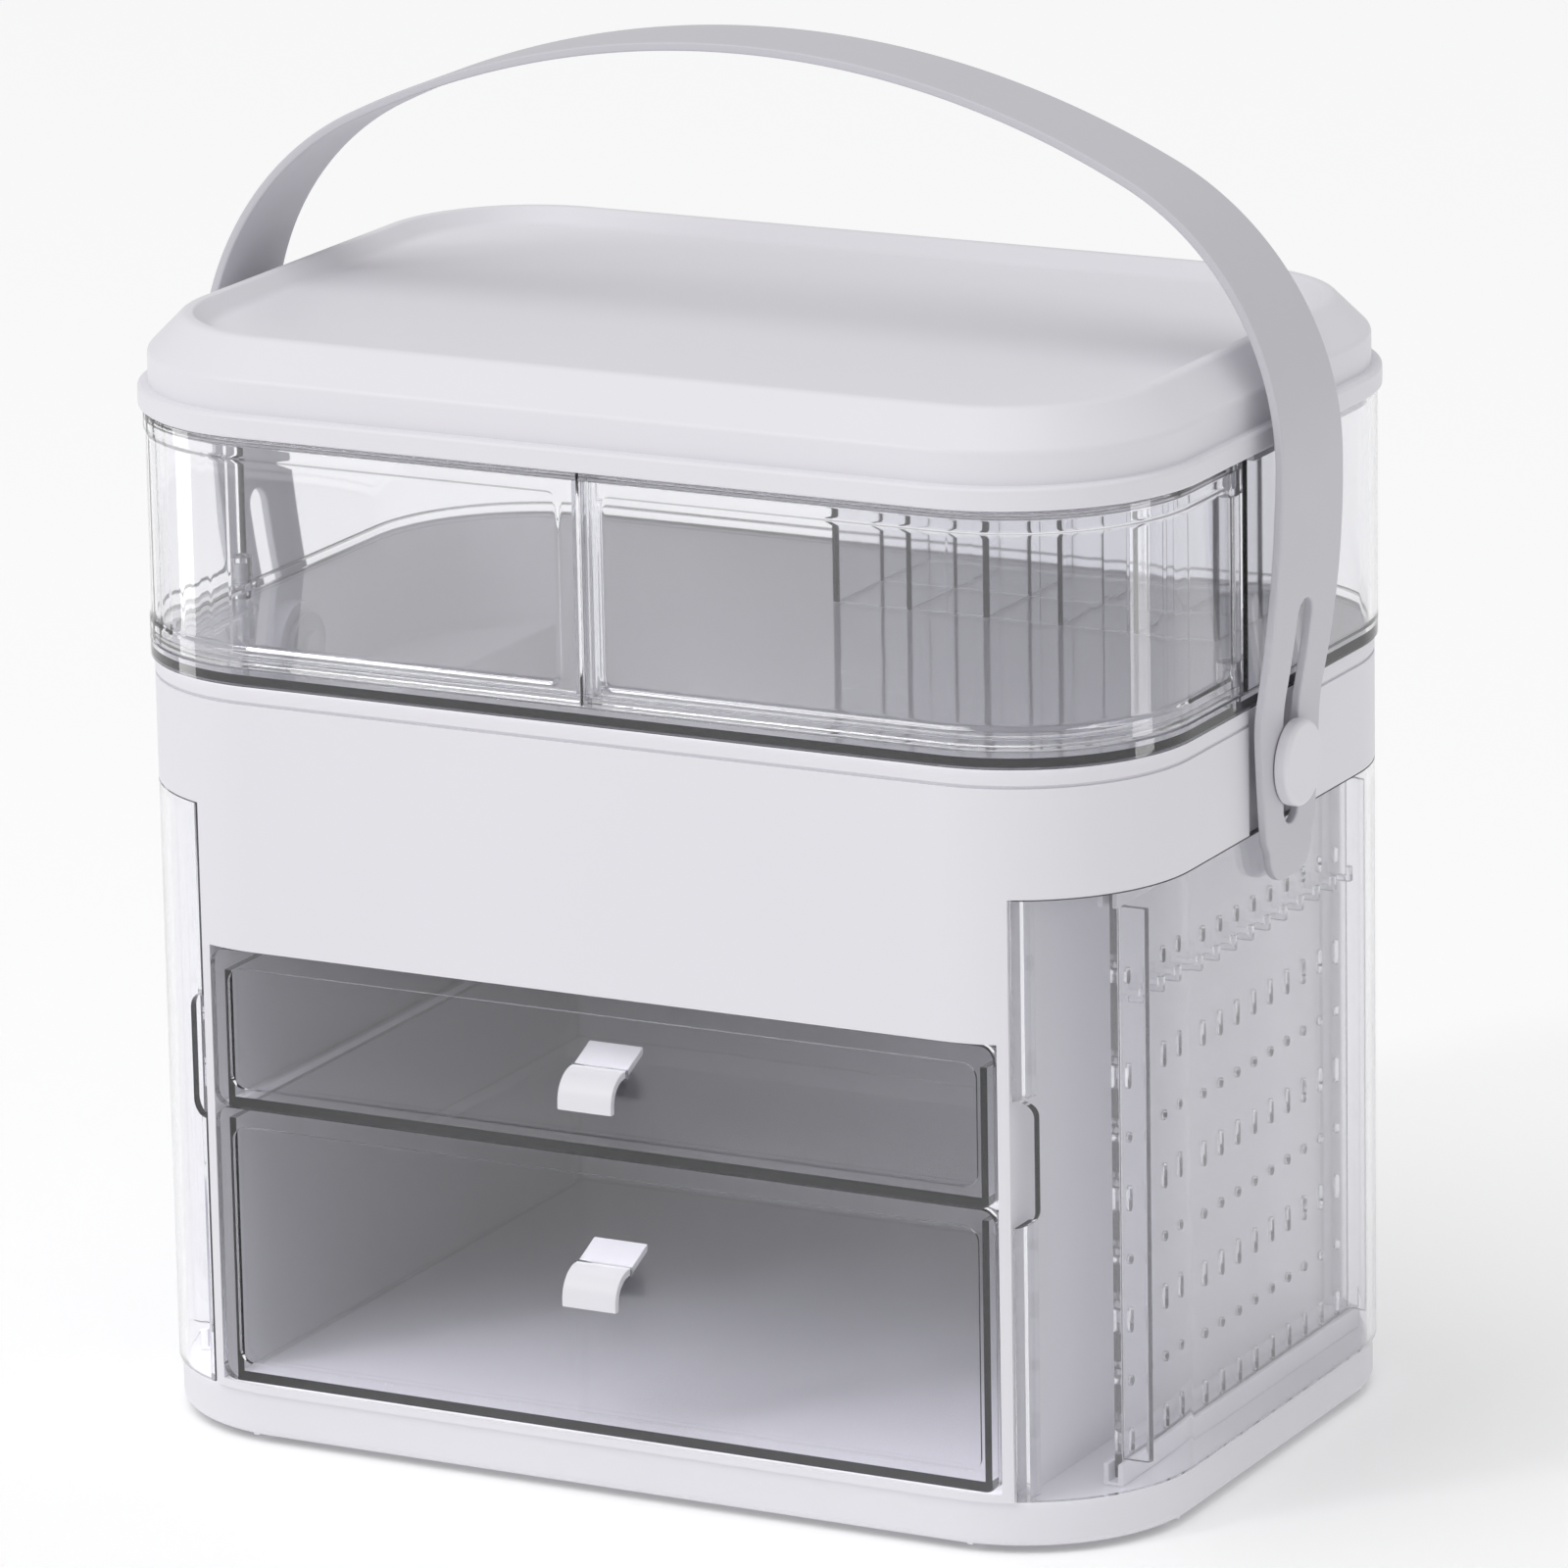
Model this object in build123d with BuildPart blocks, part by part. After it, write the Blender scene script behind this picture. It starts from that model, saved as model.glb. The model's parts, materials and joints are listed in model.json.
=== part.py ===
from build123d import *
import math
import os

# Makeup storage case with a carrying handle. Millimetres.
# Origin: middle of the footprint, on the surface that the feet stand on.
# +X is the case's right as seen from the front, the front faces -Y, +Z is up.

# ---------------------------------------------------------------- driving sizes

# White body, measured over the band that the handle pivots on
case_width = 300.0
case_depth = 202.0
corner_radius = 48.0
shell_wall = 3.0

# Plinth and feet
foot_height = 2.0
foot_radius = 9.0
foot_setback = 43.0
foot_edge = 0.6
base_height = 12.5
base_inset = 1.0
base_wall = 2.5
base_deck = 2.5
base_round = 2.5
base_rib = 1.6

# Drawer carcass
rack_depth = 33.5
core_wall = 3.0
floor_thickness = 2.3
opening_height = 121.2
roof_thickness = 2.3
rack_height = 162.0
ceiling_thickness = 2.5

# Band with its shadow groove and the two shallow bays that the handle legs lie in
band_height = 34.5
groove_drop = 4.4
groove_width = 0.9
groove_depth = 0.7
recess_width = 33.0
recess_depth = 1.5

# Back panel and its screws
back_thickness = 2.5
back_overlap = 3.5
screw_radius = 1.6
screw_hole_gap = 0.15
screw_head_radius = 3.2
screw_head_height = 1.6
screw_length = 10.0
screw_boss_radius = 4.0
screw_boss_length = 11.0
screw_boss_sink = 0.5
screw_tip_gap = 0.5
screw_positions_x = (-95.0, -35.0, 35.0, 95.0)

# Drawers
drawer_gap = 0.6
drawer_floor_gap = 0.3
drawer_split_height = 77.0
drawer_setback = 1.6
drawer_frame_depth = 1.2
drawer_frame_width = 5.0
drawer_front_thickness = 2.5
drawer_front_corner = 4.0
drawer_wall = 2.0
drawer_side_gap = 3.5
drawer_back_gap = 1.7
upper_box_height = 37.0
lower_box_height = 73.0
runner_width = 7.0
runner_height = 2.0
runner_front_setback = 8.0
runner_back_gap = 2.7
runner_gap = 0.3

# Drawer pulls: a tongue inside, a stem through the front, a rolled lip outside
pull_width = 16.0
pull_thickness = 2.0
pull_reach = 8.0
pull_drop = 10.0
pull_tongue = 9.0
pull_tongue_rise = 4.0
pull_slot_gap = 0.2
upper_pull_rise = 22.5
lower_pull_rise = 45.5

# Side racks: a wrap-round clear cover that carries a perforated board
cover_thickness = 2.5
cover_front_gap = 0.7
rack_gap = 0.3
cover_return_depth = 8.0
cover_return_thickness = 2.0
notch_height = 34.0
notch_depth = 5.0
notch_rise = 91.5
notch_corner = 4.5
board_setback = 15.0
board_thickness = 2.0
board_end_setback = 30.5
board_strut_thickness = 2.0
guide_rib = 1.4
guide_gap = 0.3
guide_floor = 1.0
guide_height = 5.0
guide_end_setback = 27.0
hole_columns = 13
hole_pitch = 10.5
hole_rows = 7
hole_row_pitch = 16.5
hole_first_row = 9.5
ear_slot_length = 7.0
ear_slot_width = 2.2
stud_hole_radius = 1.4
hook_row_rise = 135.5
hook_slot_length = 4.5
hook_reach = 4.5
hook_width = 2.0
hook_height = 1.6
hook_tip = 2.6

# Clear upper compartment, a little wider than the band below it
upper_overhang = 1.0
tray_height = 4.6
tray_floor = 2.6
tray_rim = 3.0
door_wall = 2.5
door_height = 62.1
door_gap = 0.4
door_flange = 8.0
door_flange_thickness = 2.2
centre_gap = 0.7
window_wall = 2.5
window_front_edge = -19.0
door_rear_edge = -21.8

# Door pivots
door_pivot_setback = 4.0
door_pivot_y = -24.5
knuckle_radius = 3.4
knuckle_height = 9.0
door_pin_radius = 1.2
door_pin_play = 0.06
door_pin_in_door = 7.0
door_pin_in_frame = 3.6
pin_end_gap = 0.3

# Lid: a flange with a bead, a skirt, a sloped crest and a dished top
lid_height = 24.5
lid_overhang = 1.9
flange_height = 6.0
flange_edge = 1.6
skirt_inset = 2.9
crest_slope = 9.7
crest_lower_round = 5.0
crest_upper_round = 3.0
lid_wall = 2.5
dish_inset = 15.4
dish_depth = 4.5
dish_slope = 45.0
dish_floor_round = 3.0
liner_thickness = 2.5
liner_rib_height = 3.0
liner_rib_width = 2.0
liner_rib_gap = 0.3
liner_rib_front = -12.0

# Clear lipstick organiser standing in the compartment
organiser_side_gap = 34.5
organiser_back_gap = 14.0
organiser_columns = 5
organiser_rows = 2
organiser_pitch_x = 22.5
organiser_pitch_y = 27.0
organiser_height = 48.0
organiser_wall = 1.6

# Handle: a flat strap bent to an arch, with a long slot in each leg. It is narrowest at
# the leg ends, widest beside the slots' upper ends and narrower again over the crown.
handle_reach = 71.1
handle_bulge = 6.8
crown_radius = 262.0
shoulder_radius = 82.0
bulge_radius = 330.0
leg_return_radius = 60.0
leg_gap = 4.4
strap_thickness = 2.4
strap_end_width = 26.0
strap_widest = 39.0
strap_shoulder_width = 32.0
strap_crown_width = 27.0
widest_rise = 51.0
shoulder_level_drop = 49.4
leg_end_drop = 31.0
leg_end_corner = 9.0
handle_slot_width = 9.0
handle_slot_drop = 16.5
handle_slot_length = 61.0

# Pivot buttons
pivot_rise = 16.5
button_radius = 11.5
button_thickness = 3.8
button_dome = 1.4
button_gap = 0.3
neck_gap = 0.2
neck_length = 12.6
collar_radius = 8.0
collar_gap = 0.15
journal_radius = 5.94
journal_play = 0.06
bearing_radius = 12.0
bearing_length = 6.0
washer_radius = 9.0
washer_thickness = 2.0
washer_gap = 0.3
pivot_screw_radius = 2.0
pivot_screw_head_radius = 4.0
pivot_screw_head_height = 2.0
pivot_screw_length = 12.0

# How far a cut runs past the faces that it opens, and how near its height an edge is picked
cut_margin = 1.0
pick_margin = 0.01

# ---------------------------------------------------------------- levels and planes

base_bottom = foot_height
base_top = base_bottom + base_height
opening_bottom = base_top + floor_thickness
opening_top = opening_bottom + opening_height
band_bottom = base_top + rack_height
band_top = band_bottom + band_height
tray_top = band_top + tray_height
door_bottom = tray_top + door_gap
door_top = door_bottom + door_height
lid_bottom = door_top + door_gap
lid_top = lid_bottom + lid_height
front_y = -case_depth / 2
back_y = case_depth / 2
core_half_width = case_width / 2 - rack_depth
core_outer = core_half_width + core_wall
back_half_width = core_outer + back_overlap
upper_width = case_width + 2 * upper_overhang
upper_depth = case_depth + 2 * upper_overhang
upper_radius = corner_radius + upper_overhang
lid_width = upper_width + 2 * lid_overhang
lid_depth = upper_depth + 2 * lid_overhang
lid_radius = upper_radius + lid_overhang
pivot_z = band_bottom + pivot_rise
door_pivot_x = upper_width / 2 - door_pivot_setback
far = case_width + case_depth  # longer than any piece, for cuts that run right out


def case_outline(inset, mode=Mode.ADD):
    """The white body's plan outline, drawn `inset` inside its outer face."""
    return RectangleRounded(
        case_width - 2 * inset, case_depth - 2 * inset, corner_radius - inset, mode=mode
    )


def upper_outline(inset, mode=Mode.ADD):
    """The clear upper compartment's plan outline, drawn `inset` inside its outer face."""
    return RectangleRounded(
        upper_width - 2 * inset, upper_depth - 2 * inset, upper_radius - inset, mode=mode
    )


def lid_outline(inset, mode=Mode.ADD):
    """The lid's plan outline, drawn `inset` inside its flange."""
    return RectangleRounded(
        lid_width - 2 * inset, lid_depth - 2 * inset, lid_radius - inset, mode=mode
    )


def span(low_x, high_x, low_y, high_y, mode=Mode.ADD):
    """A rectangle given by its sides."""
    with Locations(((low_x + high_x) / 2, (low_y + high_y) / 2)):
        return Rectangle(high_x - low_x, high_y - low_y, mode=mode)


def block(low, high, mode=Mode.ADD):
    """A box given by its lowest and highest corners."""
    middle = [(a + b) / 2 for a, b in zip(low, high)]
    size = [b - a for a, b in zip(low, high)]
    with Locations(tuple(middle)):
        return Box(*size, mode=mode)


def mirrored(right_side):
    """The left-hand twin of a finished right-hand piece."""
    with BuildPart() as left_side:
        mirror(right_side.part, about=Plane.YZ)
    return left_side


pieces = {}


def finish(name, piece):
    """Labels a finished piece and keeps it for export."""
    piece.part.label = name
    pieces[name] = piece.part


# ---------------------------------------------------------------- plinth

foot_spacing_x = case_width - 2 * foot_setback
foot_spacing_y = case_depth - 2 * foot_setback

with BuildPart() as base_plate:
    with BuildSketch(Plane.XY.offset(base_bottom)):
        case_outline(base_inset)
    extrude(amount=base_height)
    fillet(base_plate.edges().group_by(Axis.Z)[0], radius=base_round)
    with BuildSketch(Plane.XY.offset(base_bottom)):
        case_outline(base_inset + base_wall)
    extrude(amount=base_height - base_deck, mode=Mode.SUBTRACT)
    with BuildSketch(Plane.XY.offset(base_bottom)):
        with GridLocations(foot_spacing_x, foot_spacing_y, 2, 2):
            Circle(foot_radius + base_wall)
        with GridLocations(0, foot_spacing_y, 1, 2):
            Rectangle(case_width - 2 * base_inset - base_wall, base_rib)
        with GridLocations(foot_spacing_x, 0, 2, 1):
            Rectangle(base_rib, case_depth - 2 * base_inset - base_wall)
    extrude(amount=base_height - base_deck)
finish("base_plate", base_plate)

with BuildPart() as rubber_feet:
    with BuildSketch():
        with GridLocations(foot_spacing_x, foot_spacing_y, 2, 2):
            Circle(foot_radius)
    extrude(amount=foot_height)
    fillet(rubber_feet.edges().group_by(Axis.Z)[0], radius=foot_edge)
finish("rubber_feet", rubber_feet)

# ---------------------------------------------------------------- white body

screw_z = opening_top + roof_thickness + screw_boss_radius - screw_boss_sink
bearing_inner_x = case_width / 2 - recess_depth - bearing_length
recess_floor_x = case_width / 2 - recess_depth

with BuildPart() as body_shell:
    # band: a closed ring, with a ceiling over each side rack
    with BuildSketch(Plane.XY.offset(band_bottom)):
        case_outline(0)
        case_outline(shell_wall, mode=Mode.SUBTRACT)
    extrude(amount=band_height)
    with BuildSketch(Plane.XY.offset(band_bottom)):
        case_outline(0)
        span(-core_half_width, core_half_width, front_y, back_y, mode=Mode.SUBTRACT)
    extrude(amount=ceiling_thickness)
    # carcass: front, side walls, floor and roof around the two drawers
    with BuildSketch(Plane.XY.offset(base_top)):
        case_outline(0)
        case_outline(shell_wall, mode=Mode.SUBTRACT)
        span(-core_outer, core_outer, front_y, 0, mode=Mode.INTERSECT)
    extrude(amount=rack_height)
    with BuildSketch(Plane.XY.offset(base_top)):
        span(core_half_width, core_outer, front_y, back_y)
        span(-core_outer, -core_half_width, front_y, back_y)
        case_outline(back_thickness, mode=Mode.INTERSECT)
    extrude(amount=rack_height)
    with BuildSketch(Plane.XY.offset(base_top), Plane.XY.offset(opening_top)):
        span(-core_outer, core_outer, front_y, back_y)
        case_outline(back_thickness, mode=Mode.INTERSECT)
    extrude(amount=floor_thickness)
    block(
        (-core_half_width, front_y - shell_wall, opening_bottom),
        (core_half_width, front_y + 3 * shell_wall, opening_top),
        mode=Mode.SUBTRACT,
    )
    # bosses for the back panel's screws
    with BuildSketch(Plane.XZ.offset(-(back_y - back_thickness))):
        with Locations(*[(x, screw_z) for x in screw_positions_x]):
            Circle(screw_boss_radius)
    extrude(amount=screw_boss_length)
    with BuildSketch(Plane.XZ.offset(-(back_y - back_thickness))):
        with Locations(*[(x, screw_z) for x in screw_positions_x]):
            Circle(screw_radius)
    extrude(amount=screw_length - back_thickness + screw_tip_gap, mode=Mode.SUBTRACT)
    # shadow groove under the band's top edge
    with BuildSketch(Plane.XY.offset(band_top - groove_drop - groove_width)):
        case_outline(-shell_wall)
        case_outline(groove_depth, mode=Mode.SUBTRACT)
    extrude(amount=groove_width, mode=Mode.SUBTRACT)
    # handle bays and bearings
    for side in (-1, 1):
        with BuildSketch(Plane.YZ.offset(side * bearing_inner_x)):
            with Locations((0, pivot_z)):
                Circle(bearing_radius)
        extrude(amount=side * (bearing_length - recess_depth))
        with BuildSketch(Plane.YZ.offset(side * recess_floor_x)):
            with Locations((0, (band_bottom + band_top) / 2)):
                Rectangle(recess_width, band_height)
        extrude(amount=side * far, mode=Mode.SUBTRACT)
        with BuildSketch(Plane.YZ.offset(side * (bearing_inner_x - cut_margin))):
            with Locations((0, pivot_z)):
                Circle(journal_radius + journal_play)
        extrude(amount=side * far, mode=Mode.SUBTRACT)
finish("body_shell", body_shell)

with BuildPart() as back_panel:
    with BuildSketch(Plane.XY.offset(base_top)):
        case_outline(0)
        case_outline(back_thickness, mode=Mode.SUBTRACT)
        span(-back_half_width, back_half_width, 0, back_y, mode=Mode.INTERSECT)
    extrude(amount=rack_height)
    with BuildSketch(Plane.XZ.offset(-back_y)):
        with Locations(*[(x, screw_z) for x in screw_positions_x]):
            Circle(screw_radius + screw_hole_gap)
    extrude(amount=2 * back_thickness, both=True, mode=Mode.SUBTRACT)
finish("back_panel", back_panel)

with BuildPart() as back_screws:
    with BuildSketch(Plane.XZ.offset(-back_y)):
        with Locations(*[(x, screw_z) for x in screw_positions_x]):
            Circle(screw_radius)
    extrude(amount=screw_length)
    with BuildSketch(Plane.XZ.offset(-back_y)):
        with Locations(*[(x, screw_z) for x in screw_positions_x]):
            Circle(screw_head_radius)
    extrude(amount=-screw_head_height)
finish("back_screws", back_screws)

# ---------------------------------------------------------------- drawers

lower_front_bottom = opening_bottom + drawer_floor_gap
split_z = opening_bottom + drawer_split_height
lower_front_top = split_z - drawer_gap / 2
upper_front_bottom = split_z + drawer_gap / 2
upper_front_top = opening_top - drawer_gap
front_half_width = core_half_width - drawer_gap
frame_face_y = front_y + drawer_setback
panel_face_y = frame_face_y + drawer_frame_depth
panel_back_y = panel_face_y + drawer_front_thickness
runner_top = upper_front_bottom - runner_gap
runner_bottom = runner_top - runner_height
drawer_box_half_width = core_half_width - drawer_side_gap
drawer_box_back = back_y - back_thickness - drawer_back_gap


def drawer_box(bottom, front_top, box_height, pull_rise):
    """A clear drawer: a front with a raised frame, and an open box behind it.

    bottom is the underside of both, front_top the front's top edge, box_height the
    height of the box walls and pull_rise how far above the bottom the pull's slot is.
    """
    front_height = front_top - bottom
    with BuildPart() as drawer:
        with BuildSketch(Plane.XZ.offset(-panel_back_y)):
            with Locations((0, bottom + front_height / 2)):
                RectangleRounded(2 * front_half_width, front_height, drawer_front_corner)
        extrude(amount=drawer_front_thickness + drawer_frame_depth)
        with BuildSketch(Plane.XZ.offset(-frame_face_y)):
            with Locations((0, bottom + front_height / 2)):
                RectangleRounded(
                    2 * (front_half_width - drawer_frame_width),
                    front_height - 2 * drawer_frame_width,
                    drawer_front_corner,
                )
        extrude(amount=-drawer_frame_depth, mode=Mode.SUBTRACT)
        block(
            (-drawer_box_half_width, panel_back_y, bottom),
            (drawer_box_half_width, drawer_box_back, bottom + box_height),
        )
        block(
            (-drawer_box_half_width + drawer_wall, panel_back_y, bottom + drawer_wall),
            (
                drawer_box_half_width - drawer_wall,
                drawer_box_back - drawer_wall,
                bottom + box_height + drawer_wall,
            ),
            mode=Mode.SUBTRACT,
        )
        block(
            (
                -pull_width / 2 - pull_slot_gap,
                frame_face_y - drawer_frame_depth,
                bottom + pull_rise - pull_thickness / 2 - pull_slot_gap,
            ),
            (
                pull_width / 2 + pull_slot_gap,
                panel_back_y + drawer_wall,
                bottom + pull_rise + pull_thickness / 2 + pull_slot_gap,
            ),
            mode=Mode.SUBTRACT,
        )
    return drawer


def drawer_pull(height):
    """A white pull in a drawer front's slot: it is one bent strip, seen from its end.

    From inside: a tongue that rises to the back, a flat stem, then a quarter roll down.
    """
    half = pull_thickness / 2
    roll = pull_reach
    with BuildPart() as pull:
        with BuildSketch(Plane.YZ.offset(-pull_width / 2)):
            with BuildLine():
                top = Polyline(
                    (panel_back_y + pull_tongue, height + pull_tongue_rise + half),
                    (panel_back_y, height + half),
                    (panel_face_y, height + half),
                )
                outer = CenterArc((panel_face_y, height + half - roll), roll, 90, 90)
                Line(outer @ 1, outer @ 1 - Vector(0, pull_drop - roll))
                Line(
                    outer @ 1 - Vector(0, pull_drop - roll),
                    outer @ 1 - Vector(-pull_thickness, pull_drop - roll),
                )
                inner = CenterArc(
                    (panel_face_y, height + half - roll), roll - pull_thickness, 90, 90
                )
                Line(inner @ 1 - Vector(0, pull_drop - roll), inner @ 1)
                Polyline(
                    inner @ 0,
                    (panel_back_y, height - half),
                    (panel_back_y + pull_tongue, height + pull_tongue_rise - half),
                    top @ 0,
                )
            make_face()
        extrude(amount=pull_width)
    return pull


lower_drawer = drawer_box(
    lower_front_bottom, lower_front_top, lower_box_height, lower_pull_rise
)
finish("drawer_lower_box", lower_drawer)
finish("drawer_lower_pull", drawer_pull(lower_front_bottom + lower_pull_rise))
upper_drawer = drawer_box(
    upper_front_bottom, upper_front_top, upper_box_height, upper_pull_rise
)
finish("drawer_upper_box", upper_drawer)
finish("drawer_upper_pull", drawer_pull(upper_front_bottom + upper_pull_rise))

with BuildPart() as drawer_runner_right:
    block(
        (
            core_half_width - runner_width,
            front_y + runner_front_setback,
            runner_bottom,
        ),
        (core_half_width, back_y - back_thickness - runner_back_gap, runner_top),
    )
finish("drawer_runner_right", drawer_runner_right)
finish("drawer_runner_left", mirrored(drawer_runner_right))

# ---------------------------------------------------------------- side racks

cover_bottom = base_top + rack_gap
cover_top = band_bottom - rack_gap
cover_front_half_width = core_outer + cover_front_gap
board_plane = case_width / 2 - board_setback
board_outer_x = board_plane + board_thickness
guide_outer_low = board_plane - guide_gap - guide_rib
guide_outer_high = board_outer_x + guide_gap + guide_rib
board_half_length = back_y - board_end_setback
guide_half_length = back_y - guide_end_setback
board_bottom = base_top + guide_floor + rack_gap
board_top = band_bottom - guide_floor - rack_gap

with BuildPart() as rack_cover_right:
    with BuildSketch(Plane.XY.offset(cover_bottom)):
        case_outline(0)
        case_outline(cover_thickness, mode=Mode.SUBTRACT)
        with BuildSketch(mode=Mode.INTERSECT):
            span(cover_front_half_width, case_width / 2, front_y, 0)
            span(back_half_width + rack_gap, case_width / 2, 0, back_y)
    extrude(amount=cover_top - cover_bottom)
    # the return along the front edge that stiffens it and gives fingers a hold
    with BuildSketch(Plane.XY.offset(cover_bottom)):
        case_outline(0)
        case_outline(cover_return_depth, mode=Mode.SUBTRACT)
        span(
            cover_front_half_width,
            cover_front_half_width + cover_return_thickness,
            front_y,
            0,
            mode=Mode.INTERSECT,
        )
    extrude(amount=cover_top - cover_bottom)
    with BuildSketch(Plane.XZ):
        with Locations((cover_front_half_width, base_top + notch_rise)):
            RectangleRounded(2 * notch_depth, notch_height, notch_corner)
    extrude(amount=far, mode=Mode.SUBTRACT)
    # the rear wrap is notched to pass over the guides
    for low, high in (
        (cover_bottom - cut_margin, base_top + guide_floor + guide_height + rack_gap),
        (band_bottom - guide_floor - guide_height - rack_gap, cover_top + cut_margin),
    ):
        block(
            (guide_outer_low - rack_gap, corner_radius, low),
            (guide_outer_high + rack_gap, back_y + cut_margin, high),
            mode=Mode.SUBTRACT,
        )
finish("rack_cover_right", rack_cover_right)
finish("rack_cover_left", mirrored(rack_cover_right))

board_strut_bottom = base_top + guide_floor + guide_height + rack_gap
board_strut_top = band_bottom - guide_floor - guide_height - rack_gap

with BuildPart() as earring_board_right:
    block(
        (board_plane, -board_half_length, board_bottom),
        (board_outer_x, board_half_length, board_top),
    )
    # rows of upright slots and round holes by turns
    for row in range(hole_rows):
        with BuildSketch(Plane.YZ.offset(board_plane)):
            with Locations((0, base_top + hole_first_row + row * hole_row_pitch)):
                with GridLocations(hole_pitch, 1, hole_columns, 1):
                    if row % 2:
                        Circle(stud_hole_radius)
                    else:
                        SlotOverall(ear_slot_length, ear_slot_width, rotation=90)
        extrude(amount=board_thickness, mode=Mode.SUBTRACT)
    with BuildSketch(Plane.YZ.offset(board_plane)):
        with Locations((0, base_top + hook_row_rise)):
            with GridLocations(hole_pitch, 1, hole_columns, 1):
                SlotOverall(hook_slot_length, ear_slot_width, rotation=90)
    extrude(amount=board_thickness, mode=Mode.SUBTRACT)
finish("earring_board_right", earring_board_right)
finish("earring_board_left", mirrored(earring_board_right))

# two upright struts hold the board off the cover
with BuildPart() as rack_struts_right:
    with BuildSketch(Plane.XY.offset(board_strut_bottom)):
        for end in (-1, 1):
            outer_y = end * board_half_length
            inner_y = end * (board_half_length - board_strut_thickness)
            span(board_outer_x, case_width / 2, min(outer_y, inner_y), max(outer_y, inner_y))
        case_outline(cover_thickness, mode=Mode.INTERSECT)
    extrude(amount=board_strut_top - board_strut_bottom)
finish("rack_struts_right", rack_struts_right)
finish("rack_struts_left", mirrored(rack_struts_right))

# a row of small hooks under the top slots
hook_z = base_top + hook_row_rise - hook_slot_length - hook_height

with BuildPart() as earring_hooks_right:
    with Locations((board_outer_x + hook_reach / 2, 0, hook_z)):
        with GridLocations(1, hole_pitch, 1, hole_columns):
            Box(hook_reach, hook_width, hook_height)
    with Locations(
        (board_outer_x + hook_reach - hook_height / 2, 0, hook_z + hook_tip / 2)
    ):
        with GridLocations(1, hole_pitch, 1, hole_columns):
            Box(hook_height, hook_width, hook_height + hook_tip)
finish("earring_hooks_right", earring_hooks_right)
finish("earring_hooks_left", mirrored(earring_hooks_right))

with BuildPart() as rack_guide_right:
    for floor_z, rib_direction in ((base_top, 1), (band_bottom, -1)):
        with BuildSketch(Plane.XY.offset(floor_z)):
            span(guide_outer_low, guide_outer_high, -guide_half_length, guide_half_length)
        extrude(amount=rib_direction * (guide_floor + guide_height))
        with BuildSketch(Plane.XY.offset(floor_z + rib_direction * guide_floor)):
            span(
                board_plane - guide_gap,
                board_outer_x + guide_gap,
                -guide_half_length,
                guide_half_length,
            )
        extrude(amount=rib_direction * guide_height, mode=Mode.SUBTRACT)
finish("rack_guide_right", rack_guide_right)
finish("rack_guide_left", mirrored(rack_guide_right))

# ---------------------------------------------------------------- clear upper compartment

with BuildPart() as upper_tray:
    with BuildSketch(Plane.XY.offset(band_top)):
        upper_outline(0)
    extrude(amount=tray_height)
    with BuildSketch(Plane.XY.offset(band_top + tray_floor)):
        upper_outline(tray_rim)
    extrude(amount=tray_height - tray_floor, mode=Mode.SUBTRACT)
    with BuildSketch(Plane.XY.offset(band_top)):
        with GridLocations(2 * door_pivot_x, 0, 2, 1):
            with Locations((0, door_pivot_y)):
                Circle(knuckle_radius)
    extrude(amount=tray_height)
    with BuildSketch(Plane.XY.offset(tray_top)):
        with GridLocations(2 * door_pivot_x, 0, 2, 1):
            with Locations((0, door_pivot_y)):
                Circle(door_pin_radius + door_pin_play)
    extrude(amount=-door_pin_in_frame, mode=Mode.SUBTRACT)
finish("upper_tray", upper_tray)

with BuildPart() as rear_window:
    with BuildSketch(Plane.XY.offset(tray_top)):
        upper_outline(0)
        upper_outline(window_wall, mode=Mode.SUBTRACT)
        span(-upper_width / 2, upper_width / 2, window_front_edge, upper_depth / 2,
             mode=Mode.INTERSECT)
    extrude(amount=lid_bottom - tray_top)
finish("rear_window", rear_window)

with BuildPart() as door_right:
    with BuildSketch(Plane.XY.offset(door_bottom)):
        upper_outline(0)
        upper_outline(door_wall, mode=Mode.SUBTRACT)
        span(centre_gap / 2, upper_width / 2, -upper_depth / 2, door_rear_edge,
             mode=Mode.INTERSECT)
    extrude(amount=door_height)
    # flanges turned inwards along the bottom, the top and the middle edge
    for flange_z in (door_bottom, door_top - door_flange_thickness):
        with BuildSketch(Plane.XY.offset(flange_z)):
            upper_outline(0)
            upper_outline(door_flange, mode=Mode.SUBTRACT)
            span(centre_gap / 2, upper_width / 2, -upper_depth / 2, door_rear_edge,
                 mode=Mode.INTERSECT)
        extrude(amount=door_flange_thickness)
    block(
        (centre_gap / 2, -upper_depth / 2, door_bottom),
        (
            centre_gap / 2 + door_flange_thickness,
            -upper_depth / 2 + door_flange,
            door_top,
        ),
    )
    # pivot knuckles and their pin holes
    for knuckle_z in (door_bottom, door_top - knuckle_height):
        with BuildSketch(Plane.XY.offset(knuckle_z)):
            with Locations((door_pivot_x, door_pivot_y)):
                Circle(knuckle_radius)
            upper_outline(0, mode=Mode.INTERSECT)
            span(0, upper_width / 2, -upper_depth / 2, door_rear_edge, mode=Mode.INTERSECT)
        extrude(amount=knuckle_height)
    for hole_z, direction in ((door_bottom, 1), (door_top, -1)):
        with BuildSketch(Plane.XY.offset(hole_z)):
            with Locations((door_pivot_x, door_pivot_y)):
                Circle(door_pin_radius)
        extrude(amount=direction * door_pin_in_door, mode=Mode.SUBTRACT)
finish("door_right", door_right)
finish("door_left", mirrored(door_right))

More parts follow.
